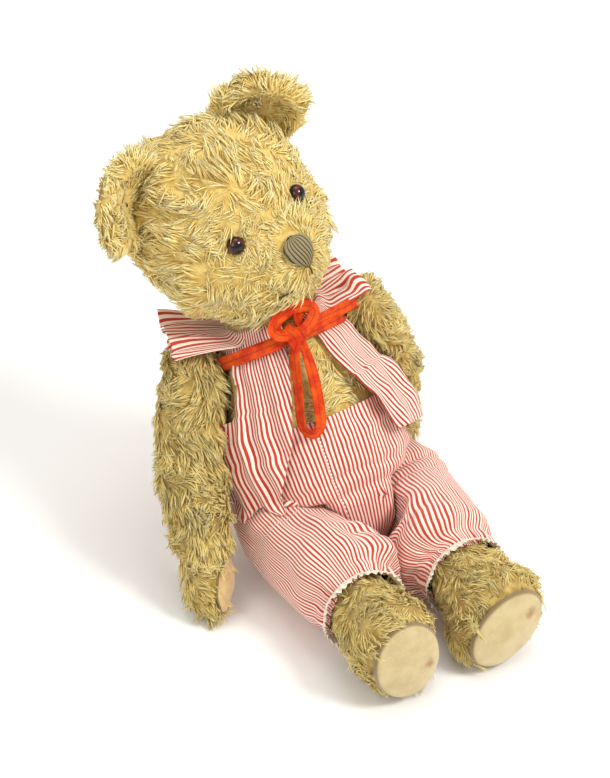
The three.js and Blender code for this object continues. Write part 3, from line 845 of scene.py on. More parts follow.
def ray_out(tree, matrix, x, station, direction, reach=0.16):
    """The outermost point of a CAD form, from outside towards a point in a body's own XZ plane."""
    origin = matrix @ Vector((x, 0, station))
    way = (matrix.to_3x3() @ Vector(direction)).normalized()
    hit = tree.ray_cast(origin + way * reach, -way, reach)[0]
    return hit, way


# ---------- trousers ----------

ANKLE = {"left": (14.8, -2.2), "right": (18.0, -0.8)}  # middle of each cuff, out and up


def leg_fullness(side, q):
    """Fills a leg's tube out to the lap and to the other leg, and draws it in to the ankle."""
    out = q[:, 0] * SIGN[side]
    up, s = q[:, 1].copy(), q[:, 2]
    across = np.maximum(24 - out, 0)
    corner = np.arctan2(np.maximum(up, 0), across)
    square = np.sin(2 * corner) ** 2 * (up > 0) * (across > 0) * smooth_step(70 - s, 0, 15)
    out = 24 - (24 - out) * (1 + 0.18 * square)
    low_lap = np.interp(s, [-30, 20, 34, 56], [0.8, 0.77, 0.82, 1.0])
    up = np.where(up > 0, up * low_lap * (1 + 0.08 * square), up)
    out = np.where(across > 0, np.maximum(out, 1.2), out)
    away = np.hypot(up, s) - 0.35 * np.maximum(up, 0)
    inner = smooth_step(across, 6, 22) * np.exp(-((up / 27) ** 4)) * smooth_step(away, 47, 58)
    inner *= smooth_step(97 - s, 0, 14) * (s > 0)
    out = np.where(across > 0, np.maximum(out - 17 * inner, -16.8), out)
    x0, y0 = ANKLE[side]
    gap = np.hypot(out - x0, up - y0)
    drawn = (25.2 - 1.4 * smooth_step(s, 92, 98)) / np.maximum(gap, 1e-6)
    w = smooth_step(s, 81, 88)
    out = out * (1 - w) + (x0 + (out - x0) * drawn) * w
    up = up * (1 - w) + (y0 + (up - y0) * drawn) * w
    return placed(LEG[side], np.stack([out * SIGN[side], up, s], 1) * MM)


SHELLS = []  # the outer form of each trouser leg, for what lies on it
# How far down the leg each crease is, its depth and width, and how much it slants, in mm.
LEG_CREASES = ((14, 2.8, 3.2, 6), (26, 1.3, 2.6, 4), (58, 1.8, 4.0, 12), (70, 1.4, 3.2, -14))


def trouser_leg(side):
    sign = SIGN[side]
    matrix = LEG[side]
    tree = tree_of(f"trouser_leg_{side}", f"leg_cover_{side}")
    around, straight, cap = 132, 76, 16
    rows = [(-8.0, -t) for t in np.linspace(82, 0, cap)[:-1]]
    rows += [(s, 0.0) for s in np.linspace(-8, 100.5, straight)]
    points, measure = [], []
    for s, tilt in rows:
        lift = math.radians(tilt)
        travelled = s if tilt == 0 else -8 - (-tilt) * 0.45
        middle_x = 24 - smooth_step(s, 40, 94) * (7 if side == "left" else 5)
        for k in range(around):
            a = TAU * k / around
            direction = (math.cos(a) * math.cos(lift), math.sin(a) * math.cos(lift), math.sin(lift))
            hit, _ = ray_out(tree, matrix, sign * middle_x * MM, s * MM, direction)
            p = hit if hit is not None else matrix @ Vector((sign * middle_x * MM, 0, s * MM))
            points.append(tuple(p))
            measure.append((a * 41, travelled))
    points = np.array(points)
    measure = np.array(measure)
    faces = sheet_faces(len(rows), around, closed=True)
    points = relax(points, faces, 3)
    points = leg_fullness(side, local(matrix, points) / MM)
    n = normals_of(points, faces)
    q = local(matrix, points) / MM
    out = points - np.array(matrix @ Vector((sign * 20 * MM, 0, 40 * MM)))
    inward = np.mean((n * out).sum(1)) < 0
    if inward:
        faces = flipped(faces)
        n = -n
    a = measure[:, 0] / 41
    s = measure[:, 1]
    up = np.sin(a)
    free = smooth_step(up, -0.75, -0.2)
    gather = np.exp(-np.maximum(96 - s, 0) / 13.0) * (s > 20) * (1 - 0.4 * smooth_step(s, 96, 100))
    puff = 2.6 * np.exp(-(((s - 76) / 9) ** 2)) * free * smooth_step(92 - s, 0, 8)
    ruck = 1.1 * gather * np.sin(a * 24 + 1.5 * np.sin(3 * a + sign)) + 0.5 * gather * np.sin(a * 37 + sign)
    below_hip = smooth_step(s, -10, 20)
    broad = 1.5 * waves(q * MM * np.array([1.0, 1.0, 0.45]), 22 * MM, 111 + sign)[:, 0] * below_hip
    fine = 0.5 * waves(q * MM * np.array([1.0, 1.0, 0.35]), 8 * MM, 113 + sign)[:, 1] * below_hip
    folds = puff + ruck + (broad + fine) * free
    top = np.exp(-(((a - math.pi / 2) / 1.1) ** 2))
    for at, depth, wide, slant in LEG_CREASES:
        line = s - at - slant * np.cos(a) * -sign
        reach = top if at < 30 else np.exp(-(((a - (math.pi / 2 + sign * 0.9)) / 0.9) ** 2))
        folds -= depth * np.exp(-((line / wide) ** 2)) * reach
    points = points + n * (folds * MM)[:, None]
    points[:, 2] = np.maximum(points[:, 2], LEAST_HEIGHT["leg"])
    SHELLS.append(BVHTree.FromPolygons([Vector(p) for p in points], [list(f) for f in faces]))
    # A doubled first column lets the measure run right round without a jump.
    piece_points, piece_measure = [], []
    for row in range(len(rows)):
        for k in range(around + 1):
            i = row * around + k % around
            piece_points.append(points[i])
            piece_measure.append((k * TAU / around * 41, measure[i, 1]))
    piece_faces = sheet_faces(len(rows), around + 1)
    if inward:
        piece_faces = flipped(piece_faces)
    piece = cloth_piece(f"trouser_leg_cloth_{side}", piece_points, piece_faces, piece_measure,
                        COTTON_LEG, f"leg_{side}")
    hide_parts(f"trouser_leg_{side}", f"cuff_elastic_{side}")
    return piece


BELLY = ((0, 20, 42), (47, 54, 56), (50, 54, 56))  # heights, and half sizes across and deep


def on_belly(angle, station):
    """Where the belly's cloth hangs at a height, all round the torso."""
    half_x = np.interp(station, BELLY[0], BELLY[1])
    half_y = np.interp(station, BELLY[0], BELLY[2])
    return spot(TORSO, math.cos(angle) * half_x, math.sin(angle) * half_y, station)


def clear_of_legs(points, gap, reach=26 * MM):
    """Lays points that are inside a trouser leg on the outside of it."""
    out = np.array(points)
    for i, p in enumerate(out):
        for shell in SHELLS:
            at, normal, _, _ = shell.find_nearest(Vector(p), reach)
            if at is not None and (Vector(p) - at).dot(normal) < gap * MM:
                out[i] = at + normal * gap * MM
    return out


# The height of each crease, its depth and width, and how much it bends down at the sides, in mm.
TRUNK_CREASES = ((19, 1.8, 3.0, 4), (8, 1.8, 2.8, 3), (44, 0.6, 4, -5))


def trousers_trunk():
    tree = tree_of("trousers_trunk", "torso_cover")
    around, straight, cap = 150, 40, 26
    rows = [(z, 0.0) for z in np.linspace(63, 4, straight)]
    rows += [(4.0, -t) for t in np.linspace(0, 86, cap)[1:]]
    points, measure = [], []
    for row, (z, tilt) in enumerate(rows):
        lift = math.radians(tilt)
        waist = 1 - row / straight if row < straight else 0
        for k in range(around):
            a = TAU * k / around - math.pi / 2
            front = math.cos(a + math.pi / 2)
            rise = 6 * smooth_step(-front, -0.2, 1.0) - 2 * math.sin(a + math.pi / 2)
            station = z + rise * waist
            direction = (math.cos(a) * math.cos(lift), math.sin(a) * math.cos(lift), math.sin(lift))
            hit, way = ray_out(tree, TORSO, 0, station * MM, direction)
            p = hit if hit is not None else TORSO @ Vector((0, 0, station * MM)) + way * 0.02
            lap = 4 + 14 * (1 - max(front, 0)) ** 2
            if tilt == 0:
                share = smooth_step(station, lap, lap + 5) * smooth_step(52 - station, 0, 6)
                p = p.lerp(on_belly(a, station), share)
            points.append(tuple(p))
            turn_angle = (a + math.pi / 2 + math.pi) % TAU - math.pi
            measure.append((turn_angle * 59, -row * 1.6))
    faces = sheet_faces(len(rows), around, closed=True)
    points = np.array(points)
    measure = np.array(measure)
    points = tuck(relax(points, faces, 5))
    points = clear_of_legs(relax(points, faces, 3), 1.0)
    points = clear_of_legs(relax(points, faces, 2), 1.0)
    n = normals_of(points, faces)
    if n[around // 4] @ np.array(torso_x) < 0:
        faces = flipped(faces)
        n = -n
    q = local(TORSO, points) / MM
    angle = measure[:, 0] / 59
    folds = np.zeros(len(points))
    for centre, depth, wide, bend in TRUNK_CREASES:
        line = q[:, 2] - centre - bend * np.cos(angle * 2)
        folds -= depth * np.exp(-((line / wide) ** 2)) * (np.cos(angle) > 0)
    folds += 0.55 * np.sin(angle * 24 + 3 * np.sin(q[:, 2] / 14)) * smooth_step(q[:, 2], 20, 62)
    folds += 0.9 * waves(points, 24 * MM, 101)[:, 0] + 0.35 * waves(points, 9 * MM, 102)[:, 0]
    points = clear_of_legs(points + n * (folds * MM)[:, None], 0.8)
    points[:, 2] = np.maximum(points[:, 2], LEAST_HEIGHT["trunk"])
    piece = cloth_piece("trousers_body", points, faces, measure, COTTON_TRUNK, "torso")
    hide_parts("trousers_trunk")
    return piece


leg_pieces = [trouser_leg(side) for side in SIDES]
trunk_piece = trousers_trunk()


# ---------- bolero ----------

BAND_UP = 111  # the ribbon's height along the torso, in mm


ARMHOLE = 25.5  # radius, in mm
CAP_ROWS, CAP_COLUMNS = 30, 40
CAP_REACH = {"right": (37, 14), "left": (36, 0)}  # out over the arm, and more at the front, in mm
CAP_RISE = {"right": (7, 13), "left": (4, 6)}  # at its edge, and more at the back, in mm


def arm_room(point):
    """How far a point is from the axis that the nearer arm turns about, in mm."""
    q = TORSO.inverted() @ point / MM
    if abs(q.x) <= 25:
        return 99
    tilt = math.radians(SHOULDER_TILT["left" if q.x > 0 else "right"])
    gap = Vector((abs(q.x), q.y, q.z)) - Vector((SHOULDER_AT[0], 0, SHOULDER_AT[1]))
    return gap.cross(Vector((math.cos(tilt), 0, math.sin(tilt)))).length


def shoulder_cap(side):
    """The bolero over one shoulder, draped on the torso and the arm: its points and their measure."""
    sign = SIGN[side]
    reach, front = CAP_REACH[side]
    rise, rise_back = CAP_RISE[side]
    over = tree_of("torso_cover", "arm_cover_" + side)
    drape, points, measure = [], [], []
    for i in range(CAP_ROWS):
        b = i / (CAP_ROWS - 1)
        for k in range(CAP_COLUMNS):
            a = 2 * k / (CAP_COLUMNS - 1) - 1
            x = 23 + (reach + front * (1 - a) / 2) * b
            y = a * (25 + 4 * b) - 3
            hit = over.ray_cast(spot(TORSO, sign * x, y, 220), -torso_z, 0.2)[0]
            under = (TORSO.inverted() @ hit).z / MM if hit is not None else 0
            back = (a + 1) / 2
            least = 126 + 6 * back + (rise + rise_back * back) * b - (12 - 0.7 * front * b) * (1 - back) ** 2
            drape.append((sign * x, y, max(min(under, 118 + 34 * b) + 4.5, least)))
            measure.append((a * (32 + 0.7 * front), x))
    drape = relax(np.array(drape), sheet_faces(CAP_ROWS, CAP_COLUMNS), 6)
    for index, (x, y, z) in enumerate(drape):
        b = (index // CAP_COLUMNS) / (CAP_ROWS - 1)
        a = 2 * (index % CAP_COLUMNS) / (CAP_COLUMNS - 1) - 1
        z += 2.8 * b * math.sin(a * 9 + 2 * b + sign) + 1.3 * b * math.sin(a * 19 + sign)
        z -= (3.5 + 2.5 * math.sin(a * 14 + sign)) * b ** 4
        points.append(tuple(spot(TORSO, x + sign * 1.2 * b * math.sin(a * 13), y, z)))
    return points, measure


def vest():
    tree = tree_of("torso_cover", "trousers_trunk")
    columns, rows = 210, 60
    points, measure, keep = [], [], []
    for i in range(rows):
        v = i / (rows - 1)
        for k in range(columns):
            f = k / (columns - 1)
            hem = np.interp(f, [0, 0.15, 0.5, 0.8, 0.93, 1], [7, 15, 22, 30, 33, 39]) + 1.2 * math.sin(f * 23)
            z = hem + (125 - hem) * v
            right_edge = np.interp(z, [20, 56, 101, 125], [-141, -119, -104, -96])
            left_edge = np.interp(z, [38, 55, 73, 91, 111, 125], [-417, -423, -427, -431, -434, -440])
            theta = math.radians(right_edge + (left_edge - right_edge) * f)
            direction = (math.cos(theta), math.sin(theta), 0)
            hit, way = ray_out(tree, TORSO, 0, z * MM, direction)
            if z < 52 or hit is None:
                hit = (hit or on_belly(theta, z)).lerp(on_belly(theta, z), smooth_step(52 - z, 0, 6))
            below = smooth_step(BAND_UP - z, 0, 60)
            above = smooth_step(z - BAND_UP, 0, 12)
            pleat = math.sin(theta * 21 + 1.2 * math.sin(theta * 5)) * (0.55 + 1.5 * below) * (1 - above)
            pleat += 0.8 * math.sin(theta * 34 + 2) * math.exp(-((BAND_UP - 7 - z) / 9) ** 2)
            flare = np.interp(f, [0, 0.15, 0.5, 0.8, 1], [2.5, 7, 5, 8, 8])
            loose = 1.9 + 1.2 * below + flare * below ** 1.5
            squeeze = -0.9 * math.exp(-((z - BAND_UP) / 5) ** 2)
            p = hit + way * (loose + pleat + squeeze) * MM
            points.append(tuple(p))
            at_band = math.radians(-105 + (-434 + 105) * f)
            blend = smooth_step(f, 0.6, 0.85)
            measure.append((66 * (theta * (1 - blend) + at_band * blend), z))
            keep.append(arm_room(p) > ARMHOLE)
    faces = [f for f in sheet_faces(rows, columns) if all(keep[i] for i in f)]
    points = np.array(points)
    points += 0.6 * MM * unit(points - np.array(hip_mid)) * waves(points, 18 * MM, 121)[:, :1]
    for _ in range(2):
        points = clear_of_legs(points, 1.8)
        grid = points.reshape(rows, columns, 3)
        low = grid[:18].copy()
        low[1:-1, 1:-1] = (grid[:16, 1:-1] + grid[2:18, 1:-1] + grid[1:17, :-2] + grid[1:17, 2:]) / 4
        grid[:17] = low[:17] * 0.5 + grid[:17] * 0.5
    for side in SIDES:
        drape, drape_measure = shoulder_cap(side)
        cap = sheet_faces(CAP_ROWS, CAP_COLUMNS, start=len(points))
        faces += cap if SIGN[side] > 0 else flipped(cap)
        points = np.vstack([points, drape])
        measure += drape_measure
    used = sorted({i for f in faces for i in f})
    remap = {old: new for new, old in enumerate(used)}
    faces = [tuple(remap[i] for i in f) for f in faces]
    measure = np.array(measure)[used]
    piece = cloth_piece("bolero", points[used], faces, measure, COTTON, "torso", thick=0.6 * MM)
    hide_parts("vest")
    return piece


vest_piece = vest()


# ---------- ribbon ----------

def satin():
    n = Nodes("satin_ribbon")
    cloth = n.add("ShaderNodeSeparateXYZ", {"Vector": n.attribute("cloth", "Vector")})
    across, along = cloth.outputs["X"], cloth.outputs["Y"]
    ribs = n.math("SINE", n.times(along, TAU / 0.5))
    edge = n.step(n.math("ABSOLUTE", across), 4.1, 4.8)
    crumple_and_shade = n.noise(n.place(), 110, 3, 0.6)
    crease = n.noise(n.place(), 330, 3, 0.6)
    # Painted light and shade of the crumples: brighter orange where the crumple noise is low, darker red where it
    # is high.
    colour = n.mix(n.step(crumple_and_shade, 0.36, 0.62), rgb(250, 94, 16), rgb(218, 52, 8))
    # Painted shade of a crease down the middle of the ribbon.
    middle_fold_shade = n.step(n.math("ABSOLUTE", across), 0.7, 0.15)
    colour = n.mix(n.times(middle_fold_shade, 0.4), colour, rgb(130, 20, 4))
    colour = n.mix(n.times(edge, 0.5), colour, rgb(160, 18, 8))
    uneven = n.math("ADD", n.times(crumple_and_shade, 1.5), crease)
    height = n.math("ADD", n.times(ribs, 0.08), uneven)
    return n.finish({"Base Color": colour, "Roughness": 0.45, "Normal": n.bump(height, 0.9, 0.0016),
                     "Specular IOR Level": 0.25})


SATIN = satin()


def curve_through(points, steps):
    """Catmull-Rom points through the given ones."""
    p = [Vector(points[0]) * 2 - Vector(points[1])] + [Vector(q) for q in points]
    p.append(p[-1] * 2 - p[-2])
    out = []
    for i in range(1, len(p) - 2):
        for s in range(steps):
            t = s / steps
            a, b, c, d = p[i - 1], p[i], p[i + 1], p[i + 2]
            out.append(0.5 * (2 * b + (c - a) * t + (2 * a - 5 * b + 4 * c - d) * t * t
                              + (3 * b - a - 3 * c + d) * t * t * t))
    out.append(p[-2])
    return out


def strip(path, tilt, pinch, wide):
    """A ribbon along a path in torso millimetres. Its width turns by tilt from lying on the chest."""
    line = curve_through(path, 10)
    total = len(line)
    rows, measure = [], []
    travelled = 0.0
    for i, p in enumerate(line):
        ahead = (line[min(i + 1, total - 1)] - line[max(i - 1, 0)]).normalized()
        outward = Vector((p.x, p.y, 0)).normalized()
        flat = outward.cross(ahead).normalized()
        lift = ahead.cross(flat).normalized()
        if lift.dot(outward) < 0:
            lift = -lift
        angle = math.radians(tilt + 16 * math.sin(i / (total - 1) * TAU))
        width = flat * math.cos(angle) + lift * math.sin(angle)
        if i:
            travelled += (p - line[i - 1]).length
        u = i / (total - 1)
        narrow = 1 - pinch[0] * math.exp(-((u / 0.12) ** 2)) - pinch[1] * math.exp(-(((1 - u) / 0.12) ** 2))
        for j in range(7):
            c = j / 6 * 2 - 1
            bow = 0.4 * math.sin(u * 11 + c * 2) + 0.25 * math.cos(c * math.pi * 1.5 + u * 5)
            rows.append(tuple(TORSO @ ((p + width * (c * wide / 2 * narrow) + lift * bow) * MM)))
            measure.append((c * wide / 2, travelled))
    return rows, measure, sheet_faces(total, 7)


def ribbon():
    """One ribbon of seven lengths: each has its path, tilt, the pinch at its two ends and its width."""
    band = BAND_UP + 2
    paths = [
        # round the bear's right side and back to the knot
        ([(-36, 22, band - 8), (-44, 6, band - 6), (-41.5, -16, band - 3), (-33, -33, band - 1),
          (-19, -44.5, band), (-5, -48.5, band + 1)], 0, (0, 0.25), 8.5),
        # the tail that lies out over the left shoulder
        ([(-3, -48.5, band + 1), (10, -47, band + 3), (24, -41, band + 3), (38, -32, band + 2),
          (50, -22, band + 2), (63, -11, band + 1)], 12, (0.25, 0), 7.5),
        # the band below the tail, in its casing
        ([(2, -47, band - 2), (18, -43, band - 2), (32, -33, band - 3), (40, -18, band - 5),
          (43, 2, band - 8)], 0, (0.2, 0), 6),
        # the small loop of the bow
        ([(-4, -51, band + 2), (-12, -51.5, band + 4.5), (-14.5, -51, band + 9), (-9, -50.5, band + 14),
          (2, -49, band + 16), (12, -46.5, band + 13.5), (14, -47, band + 8.5), (6, -50.5, band + 3),
          (-2, -52, band + 1.5)], 12, (0.15, 0.15), 8.4),
        # the long loop that hangs
        ([(-3, -52, band), (-9, -53.5, band - 10), (-15, -56, band - 28), (-21, -58.5, band - 45),
          (-21.5, -59.5, band - 52), (-17, -60, band - 56.5), (-11, -59.5, band - 53), (-8, -58, band - 45),
          (-3.5, -55, band - 28), (-1.5, -53, band - 12), (-1, -51, band - 1)], 36, (0.2, 0.2), 7.8),
        # the end that goes up under the chin
        ([(2, -49, band + 4), (4, -47, band + 11), (8, -44.5, band + 13)], 10, (0.3, 0), 7),
        # the knot's wrap
        ([(-7, -46, band + 7), (-6.5, -51, band + 4), (-5, -53.5, band), (-4, -52, band - 5),
          (-3, -47.5, band - 7.5)], 0, (0.1, 0.1), 11),
    ]
    points, measure, faces = [], [], []
    for path, tilt, pinch, wide in paths:
        rows, scale, quads = strip(path, tilt, pinch, wide)
        faces += [tuple(len(points) + i for i in f) for f in quads]
        points += rows
        measure += scale
    piece = cloth_piece("ribbon_bow", points, faces, measure, SATIN, "torso", "ribbon_red", 0.5 * MM)
    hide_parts("ribbon")
    return piece


ribbon_piece = ribbon()


# ---------- eyes, nose and mouth ----------

def glass_eye():
    n = Nodes("eye_glass")
    facing = n.attribute("facing")
    pupil = [(0.0, rgb(3, 2, 2)), (0.44, rgb(5, 3, 3))]
    iris = [(0.54, rgb(86, 26, 12)), (0.8, rgb(56, 15, 9)), (1.0, rgb(16, 6, 5))]
    colour = n.ramp(facing, pupil + iris)
    haze = n.noise(n.place(), 300, 2, 0.5)
    colour = n.mix(n.times(haze, 0.03), colour, rgb(120, 100, 90))
    return n.finish({"Base Color": colour, "Roughness": 0.1, "Coat Weight": 0.25, "Coat Roughness": 0.03,
                     "Specular IOR Level": 0.35})


EYE_GLASS = glass_eye()


def ball(centre, axis, radius, rings=24, around=36):
    """A slightly flat ball, and how far round from its front each point is."""
    matrix = Matrix.Translation(centre) @ axis.to_track_quat("Z", "Y").to_matrix().to_4x4()
    points, facing = [], []
    for i in range(rings + 1):
        t = math.pi * i / rings
        for k in range(around):
            a = TAU * k / around
            p = Vector((math.sin(t) * math.cos(a), math.sin(t) * math.sin(a), math.cos(t) * 0.92))
            points.append(tuple(matrix @ (p * radius)))
            facing.append(i / rings * 2)
    return points, sheet_faces(rings + 1, around, closed=True), facing


def eyes():
    for side in SIDES:
        axis = HEAD.to_3x3() @ Vector((SIGN[side] * 0.42, -0.88, 0.12))
        points, faces, facing = ball(middle("eye_" + side), axis, 5.6 * MM)
        eye = new_mesh("glass_eye_" + side, points, faces)
        set_attribute(eye, "facing", facing)
        dress(eye, EYE_GLASS, "head", "eye_glass", "eye_" + side)


def satin_stitch():
    n = Nodes("nose_thread")
    at = n.place()
    fibre = n.noise(at, 900, 3, 0.6)
    shade = n.attribute("groove")
    colour = n.mix(fibre, rgb(122, 108, 72), rgb(156, 142, 100))
    # Painted shade in the grooves between the stitches.
    colour = n.mix(n.step(shade, 0.15, 0.75), colour, rgb(44, 34, 22))
    return n.finish({"Base Color": colour, "Roughness": 0.6, "Normal": n.bump(fibre, 0.4, 0.0004)})


THREAD = satin_stitch()


def nose():
    """Vertical satin stitches over a rounded shield, point down."""
    rows, columns = 30, 127
    (mx, my, mz), (rx, ry, rz) = MUZZLE
    points, groove = [], []
    for i in range(rows):
        v = 1 - 2 * i / (rows - 1)
        half = 9.7 * max(1 - abs(v) ** (2.6 if v > 0 else 1.35), 0.0004) ** (0.5 if v > 0 else 0.85)
        for k in range(columns):
            u = 2 * k / (columns - 1) - 1
            x, z = NOSE_AT[0] + half * u, NOSE_AT[1] + (7.8 if v > 0 else 11.0) * v
            muzzle_y = my - ry * math.sqrt(1 - ((x - mx) / rx) ** 2 - ((z - mz) / rz) ** 2)
            thread = abs(math.sin(math.pi * (4 * u + 0.3 * math.sin(v * 3 + 2 * u))))
            dome = math.sqrt(max((1 - u * u) * (1 - v * v), 0))
            y = muzzle_y + 1.0 - 3.4 * dome - 0.75 * thread * dome ** 0.5
            points.append(tuple(spot(HEAD, x, y, z)))
            # How far into the dip between two stitches a point lies, for the painted shade there.
            groove.append(max(0, 1 - 1.15 * thread))
    obj = new_mesh("nose_pad", points, flipped(sheet_faces(rows, columns)))
    set_attribute(obj, "groove", groove)
    thicken(obj, 1.2 * MM, -1)
    dress(obj, THREAD, "head", "thread", "nose_stitching")


def thread_line(points, radius, sides=8):
    """A round thread through the given points."""
    line = curve_through(points, 6)
    verts = []
    for i, p in enumerate(line):
        ahead = (line[min(i + 1, len(line) - 1)] - line[max(i - 1, 0)]).normalized()
        side = ahead.orthogonal().normalized()
        up = ahead.cross(side)
        for k in range(sides):
            a = TAU * k / sides
            verts.append(tuple(p + (side * math.cos(a) + up * math.sin(a)) * radius))
    return verts, sheet_faces(len(line), sides, closed=True)


def mouth():
    """The two stitches that are left: one below the nose and one of the smile."""
    tree = tree_of("head_cover")
    stitches = [
        [(-2.4, -12), (-2.2, -15), (-2.0, -18)],
        [(-24, -25.2), (-19.5, -23.6), (-15, -22.8)],
    ]
    points, faces = [], []
    for stitch in stitches:
        path = []
        for x, z in stitch:
            hit = tree.ray_cast(spot(HEAD, x, -140, z), HEAD.to_3x3() @ Vector((0, 1, 0)), 0.2)[0]
            path.append(hit + (HEAD.to_3x3() @ Vector((0, -1, -0.4))) * 2.0 * MM)
        verts, quads = thread_line(path, 0.5 * MM)
        faces += [tuple(len(points) + i for i in f) for f in quads]
        points += verts
    obj = new_mesh("mouth_thread", points, faces)
    dark = plain("mouth_thread", rgb(70, 56, 42), 0.7, scale=900)
    dress(obj, dark, "head", "thread", "mouth_stitching")


# ---------- felt pads and cuffs ----------

def felt(name, colour, deep, stain_at=None):
    n = Nodes(name)
    at = n.place()
    cloudy = n.noise(at, 60, 4, 0.6)
    fibre = n.noise(at, 900, 4, 0.75)
    base = n.mix(n.step(cloudy, 0.35, 0.7), colour, deep)
    base = n.mix(n.times(n.step(fibre, 0.5, 0.75), 0.3), base, rgb(226, 210, 168))
    if stain_at is not None:
        away = n.add("ShaderNodeVectorMath", operation="DISTANCE")
        n.put(away.inputs[0], at)
        n.put(away.inputs[1], tuple(stain_at))
        ragged = n.times(n.noise(at, 220, 3, 0.6), 0.006)
        blot = n.math("ADD", away.outputs["Value"], ragged)
        base = n.mix(n.times(n.step(blot, 0.0085, 0.0035), 0.75), base, rgb(150, 96, 52))
    rim = n.attribute("rim")
    base = n.mix(n.times(n.step(rim, 0.935, 0.975), 0.8), base, rgb(112, 84, 44))
    height = n.math("ADD", fibre, cloudy)
    return n.finish({"Base Color": base, "Roughness": 0.95, "Normal": n.bump(height, 0.35, 0.0007),
                     "Sheen Weight": 0.35})


def pad_piece(name, outline, material, body, replaced):
    """A round of felt: outline(rho, angle) gives its points, from rho 0 in the middle to 1 at the rim."""
    rings, around = 18, 64
    points, rim = [], []
    for i in range(rings + 1):
        for k in range(around):
            points.append(tuple(outline(i / rings, TAU * k / around)))
            rim.append(i / rings)
    obj = new_mesh(name, points, sheet_faces(rings + 1, around, closed=True))
    set_attribute(obj, "rim", rim)
    thicken(obj, 1.0 * MM)
    return dress(obj, material, body, "felt", replaced)


def sole(side):
    x0, y0, roll = SOLES[side]
    sign = SIGN[side]
    twist = math.radians(sign * roll)

    def outline(rho, a):
        u = SOLE_HALF[0] * rho * math.cos(a)
        v = SOLE_HALF[1] * rho * math.sin(a)
        x = sign * x0 + u * math.cos(twist) - v * math.sin(twist)
        y = y0 + u * math.sin(twist) + v * math.cos(twist)
        wobble = 0.5 * math.sin(u * 0.21 + sign) * math.cos(v * 0.17)
        z = 153.4 + 3.2 * (1 - rho ** 2) - 2.4 * smooth_step(rho, 0.95, 1.0) + wobble * (1 - rho)
        return spot(LEG[side], x, y, z)
    stain = outline(0.62, -0.35 if side == "right" else 1.2)
    material = felt("felt_sole_" + side, rgb(200, 182, 134), rgb(184, 162, 114), stain)
    piece = pad_piece("sole_felt_" + side, outline, material, f"leg_{side}", f"sole_pad_{side}")


def paw(side):
    sign = SIGN[side]
    tree = tree_of(f"arm_cover_{side}", f"paw_pad_{side}")
    centre = Vector((sign * 8, -6, -118))
    out = Vector((-sign, -0.8, -0.25)).normalized()
    along = (Vector((0, 0, 1)) - out * out.z).normalized()
    across = along.cross(out)
    way = ARM[side].to_3x3() @ out
    top = tree.ray_cast(ARM[side] @ ((centre + out * 40) * MM), -way, 0.08)[0]

    def outline(rho, a):
        flat = centre + along * (17 * rho * math.sin(a)) + across * (12 * rho * math.cos(a)) + out * 40
        start = ARM[side] @ (flat * MM)
        hit = tree.ray_cast(start, -way, 0.08)[0]
        fall = (top - hit).dot(way) / MM if hit is not None else 99
        fall = min(max(fall, -2 * rho), 5 * rho ** 2)  # felt bends, but doesn't drop off the paw's edge
        level = start - way * (start - top).dot(way)
        return level + way * (0.2 - fall - 1.4 * smooth_step(rho, 0.85, 1.0)) * MM
    material = felt("felt_paw_" + side, rgb(206, 176, 122), rgb(188, 154, 100))
    piece = pad_piece("paw_felt_" + side, outline, material, f"arm_{side}", f"paw_pad_{side}")


def lace():
    n = Nodes("lace_frill")
    at = n.place()
    fine = n.noise(at, 1200, 3, 0.7)
    colour = n.mix(n.step(n.noise(at, 80, 3, 0.5), 0.4, 0.7), rgb(240, 234, 216), rgb(218, 206, 176))
    return n.finish({"Base Color": colour, "Roughness": 0.9, "Normal": n.bump(fine, 0.6, 0.0006),
                     "Sheen Weight": 0.3})


LACE = lace()


def frill(side):
    sign = SIGN[side]
    q = LEG[side].inverted() @ middle(f"cuff_frill_{side}") / MM
    rows, around = 9, 300
    points, measure = [], []
    for i in range(rows):
        v = i / (rows - 1)
        for k in range(around + 1):
            a = TAU * k / around
            wave = math.sin(a * 38 + 1.9 * math.sin(a * 4 + sign)) + 0.6 * math.sin(a * 53 + sign)
            radius = 24.2 + 2.8 * v ** 0.8 + 0.7 * v * wave + 0.3 * math.sin(k * 2.1) * (v > 0.95)
            z = 97.5 + (5.2 + 1.0 * math.sin(a * 7 + sign)) * v + 0.5 * v * math.cos(a * 41 + 2)
            points.append(spot(LEG[side], q.x + radius * math.cos(a), q.y + radius * math.sin(a), z))
            measure.append((a * 46, 10 * v))
    points = np.array([tuple(p) for p in points])
    points[:, 2] = np.maximum(points[:, 2], LEAST_HEIGHT["frill"])
    piece = cloth_piece(f"frill_{side}", points, sheet_faces(rows, around + 1), measure, LACE, f"leg_{side}",
                        "lace_cream", 0.5 * MM)
    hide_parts(f"cuff_frill_{side}")
    return piece


eyes()
nose()
mouth()
for side in SIDES:
    sole(side)
    paw(side)
frills = [frill(side) for side in SIDES]


# ---------- CAD nodes that stay ----------

slots = {s["node"]: s["material_slot"] for s in frame["record"]["subparts"]}
FINISH = {m["slot"]: m for m in frame["record"]["materials"]}
kept = {}
for node, obj in frame["nodes"].items():
    name = slots[node]
    if name not in kept:
        colour = (*FINISH[name]["base_color"][:3], 1.0)
        roughness, metallic = (0.4, 1.0) if name == "steel" else (0.85, 0.0)
        kept[name] = plain("cad_" + name, colour, roughness, metallic)
    give(obj, kept[name])


# ---------- room, light and camera ----------

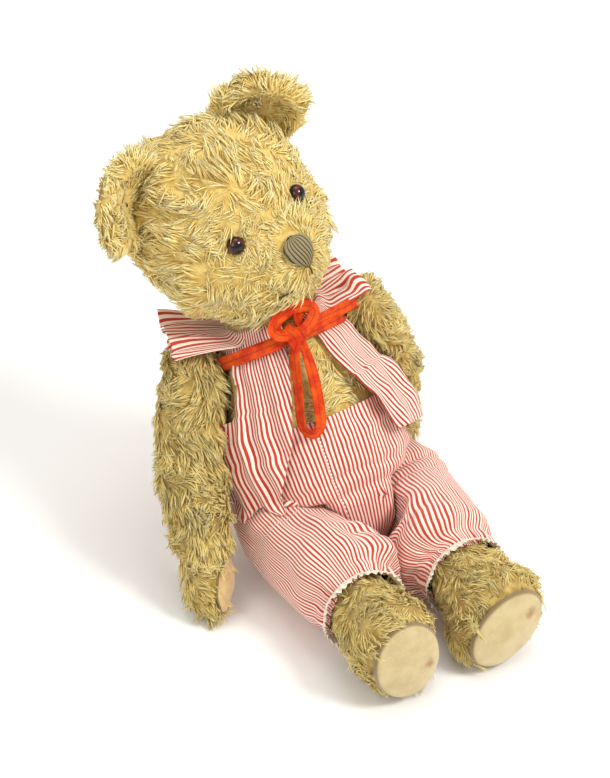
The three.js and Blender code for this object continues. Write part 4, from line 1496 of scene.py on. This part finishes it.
def room():
    floor_points = []
    rows = [(-1.6, 0), (1.2, 0), (1.8, 0.05), (2.1, 0.25), (2.2, 0.6), (2.2, 2.4)]
    for y, z in rows:
        for x in (-2.5, 2.5):
            floor_points.append((x, y, z))
    faces = [(2 * i, 2 * i + 1, 2 * i + 3, 2 * i + 2) for i in range(len(rows) - 1)]
    floor = new_mesh("floor", floor_points, faces)
    give(floor, Nodes("paper").finish({"Base Color": (0.93, 0.92, 0.90, 1), "Roughness": 0.9}))


room()


def light(name, place, aim, size, power, colour=(1, 1, 1)):
    data = bpy.data.lights.new(name, "AREA")
    data.shape = "DISK"
    data.size = size
    data.energy = power
    data.color = colour
    obj = bpy.data.objects.new(name, data)
    obj.location = place
    obj.rotation_euler = (Vector(aim) - Vector(place)).to_track_quat("-Z", "Y").to_euler()
    bpy.context.scene.collection.objects.link(obj)


light("key", (0.9, -1.3, 1.7), (0, 0, 0.1), 0.7, 32, (1.0, 0.98, 0.95))
light("fill", (-1.5, -0.9, 1.2), (0, 0, 0.1), 1.2, 9, (1.0, 0.99, 0.96))
light("top", (0.1, 0.4, 1.9), (0, 0, 0.1), 1.2, 10)
world = bpy.data.worlds.new("room")
world.use_nodes = True
world.node_tree.nodes["Background"].inputs[0].default_value = (1.0, 0.99, 0.98, 1)
world.node_tree.nodes["Background"].inputs[1].default_value = 0.64
bpy.context.scene.world = world
bpy.context.scene.view_settings.view_transform = "Standard"

azimuth = math.radians(CAMERA["azimuth"])
elevation = math.radians(CAMERA["elevation"])
ahead = Vector((math.sin(azimuth) * math.cos(elevation), math.cos(azimuth) * math.cos(elevation),
                -math.sin(elevation)))
data = bpy.data.cameras.new("camera")
data.lens = CAMERA["lens"]
data.sensor_width = 36
data.shift_x, data.shift_y = CAMERA["shift"]
camera = bpy.data.objects.new("camera", data)
aim = Vector((hip_mid.x, hip_mid.y, 0)) + CAMERA_AIM
camera.location = aim - ahead * CAMERA["away"]
camera.rotation_euler = ahead.to_track_quat("-Z", "Y").to_euler()
bpy.context.scene.collection.objects.link(camera)
bpy.context.scene.camera = camera
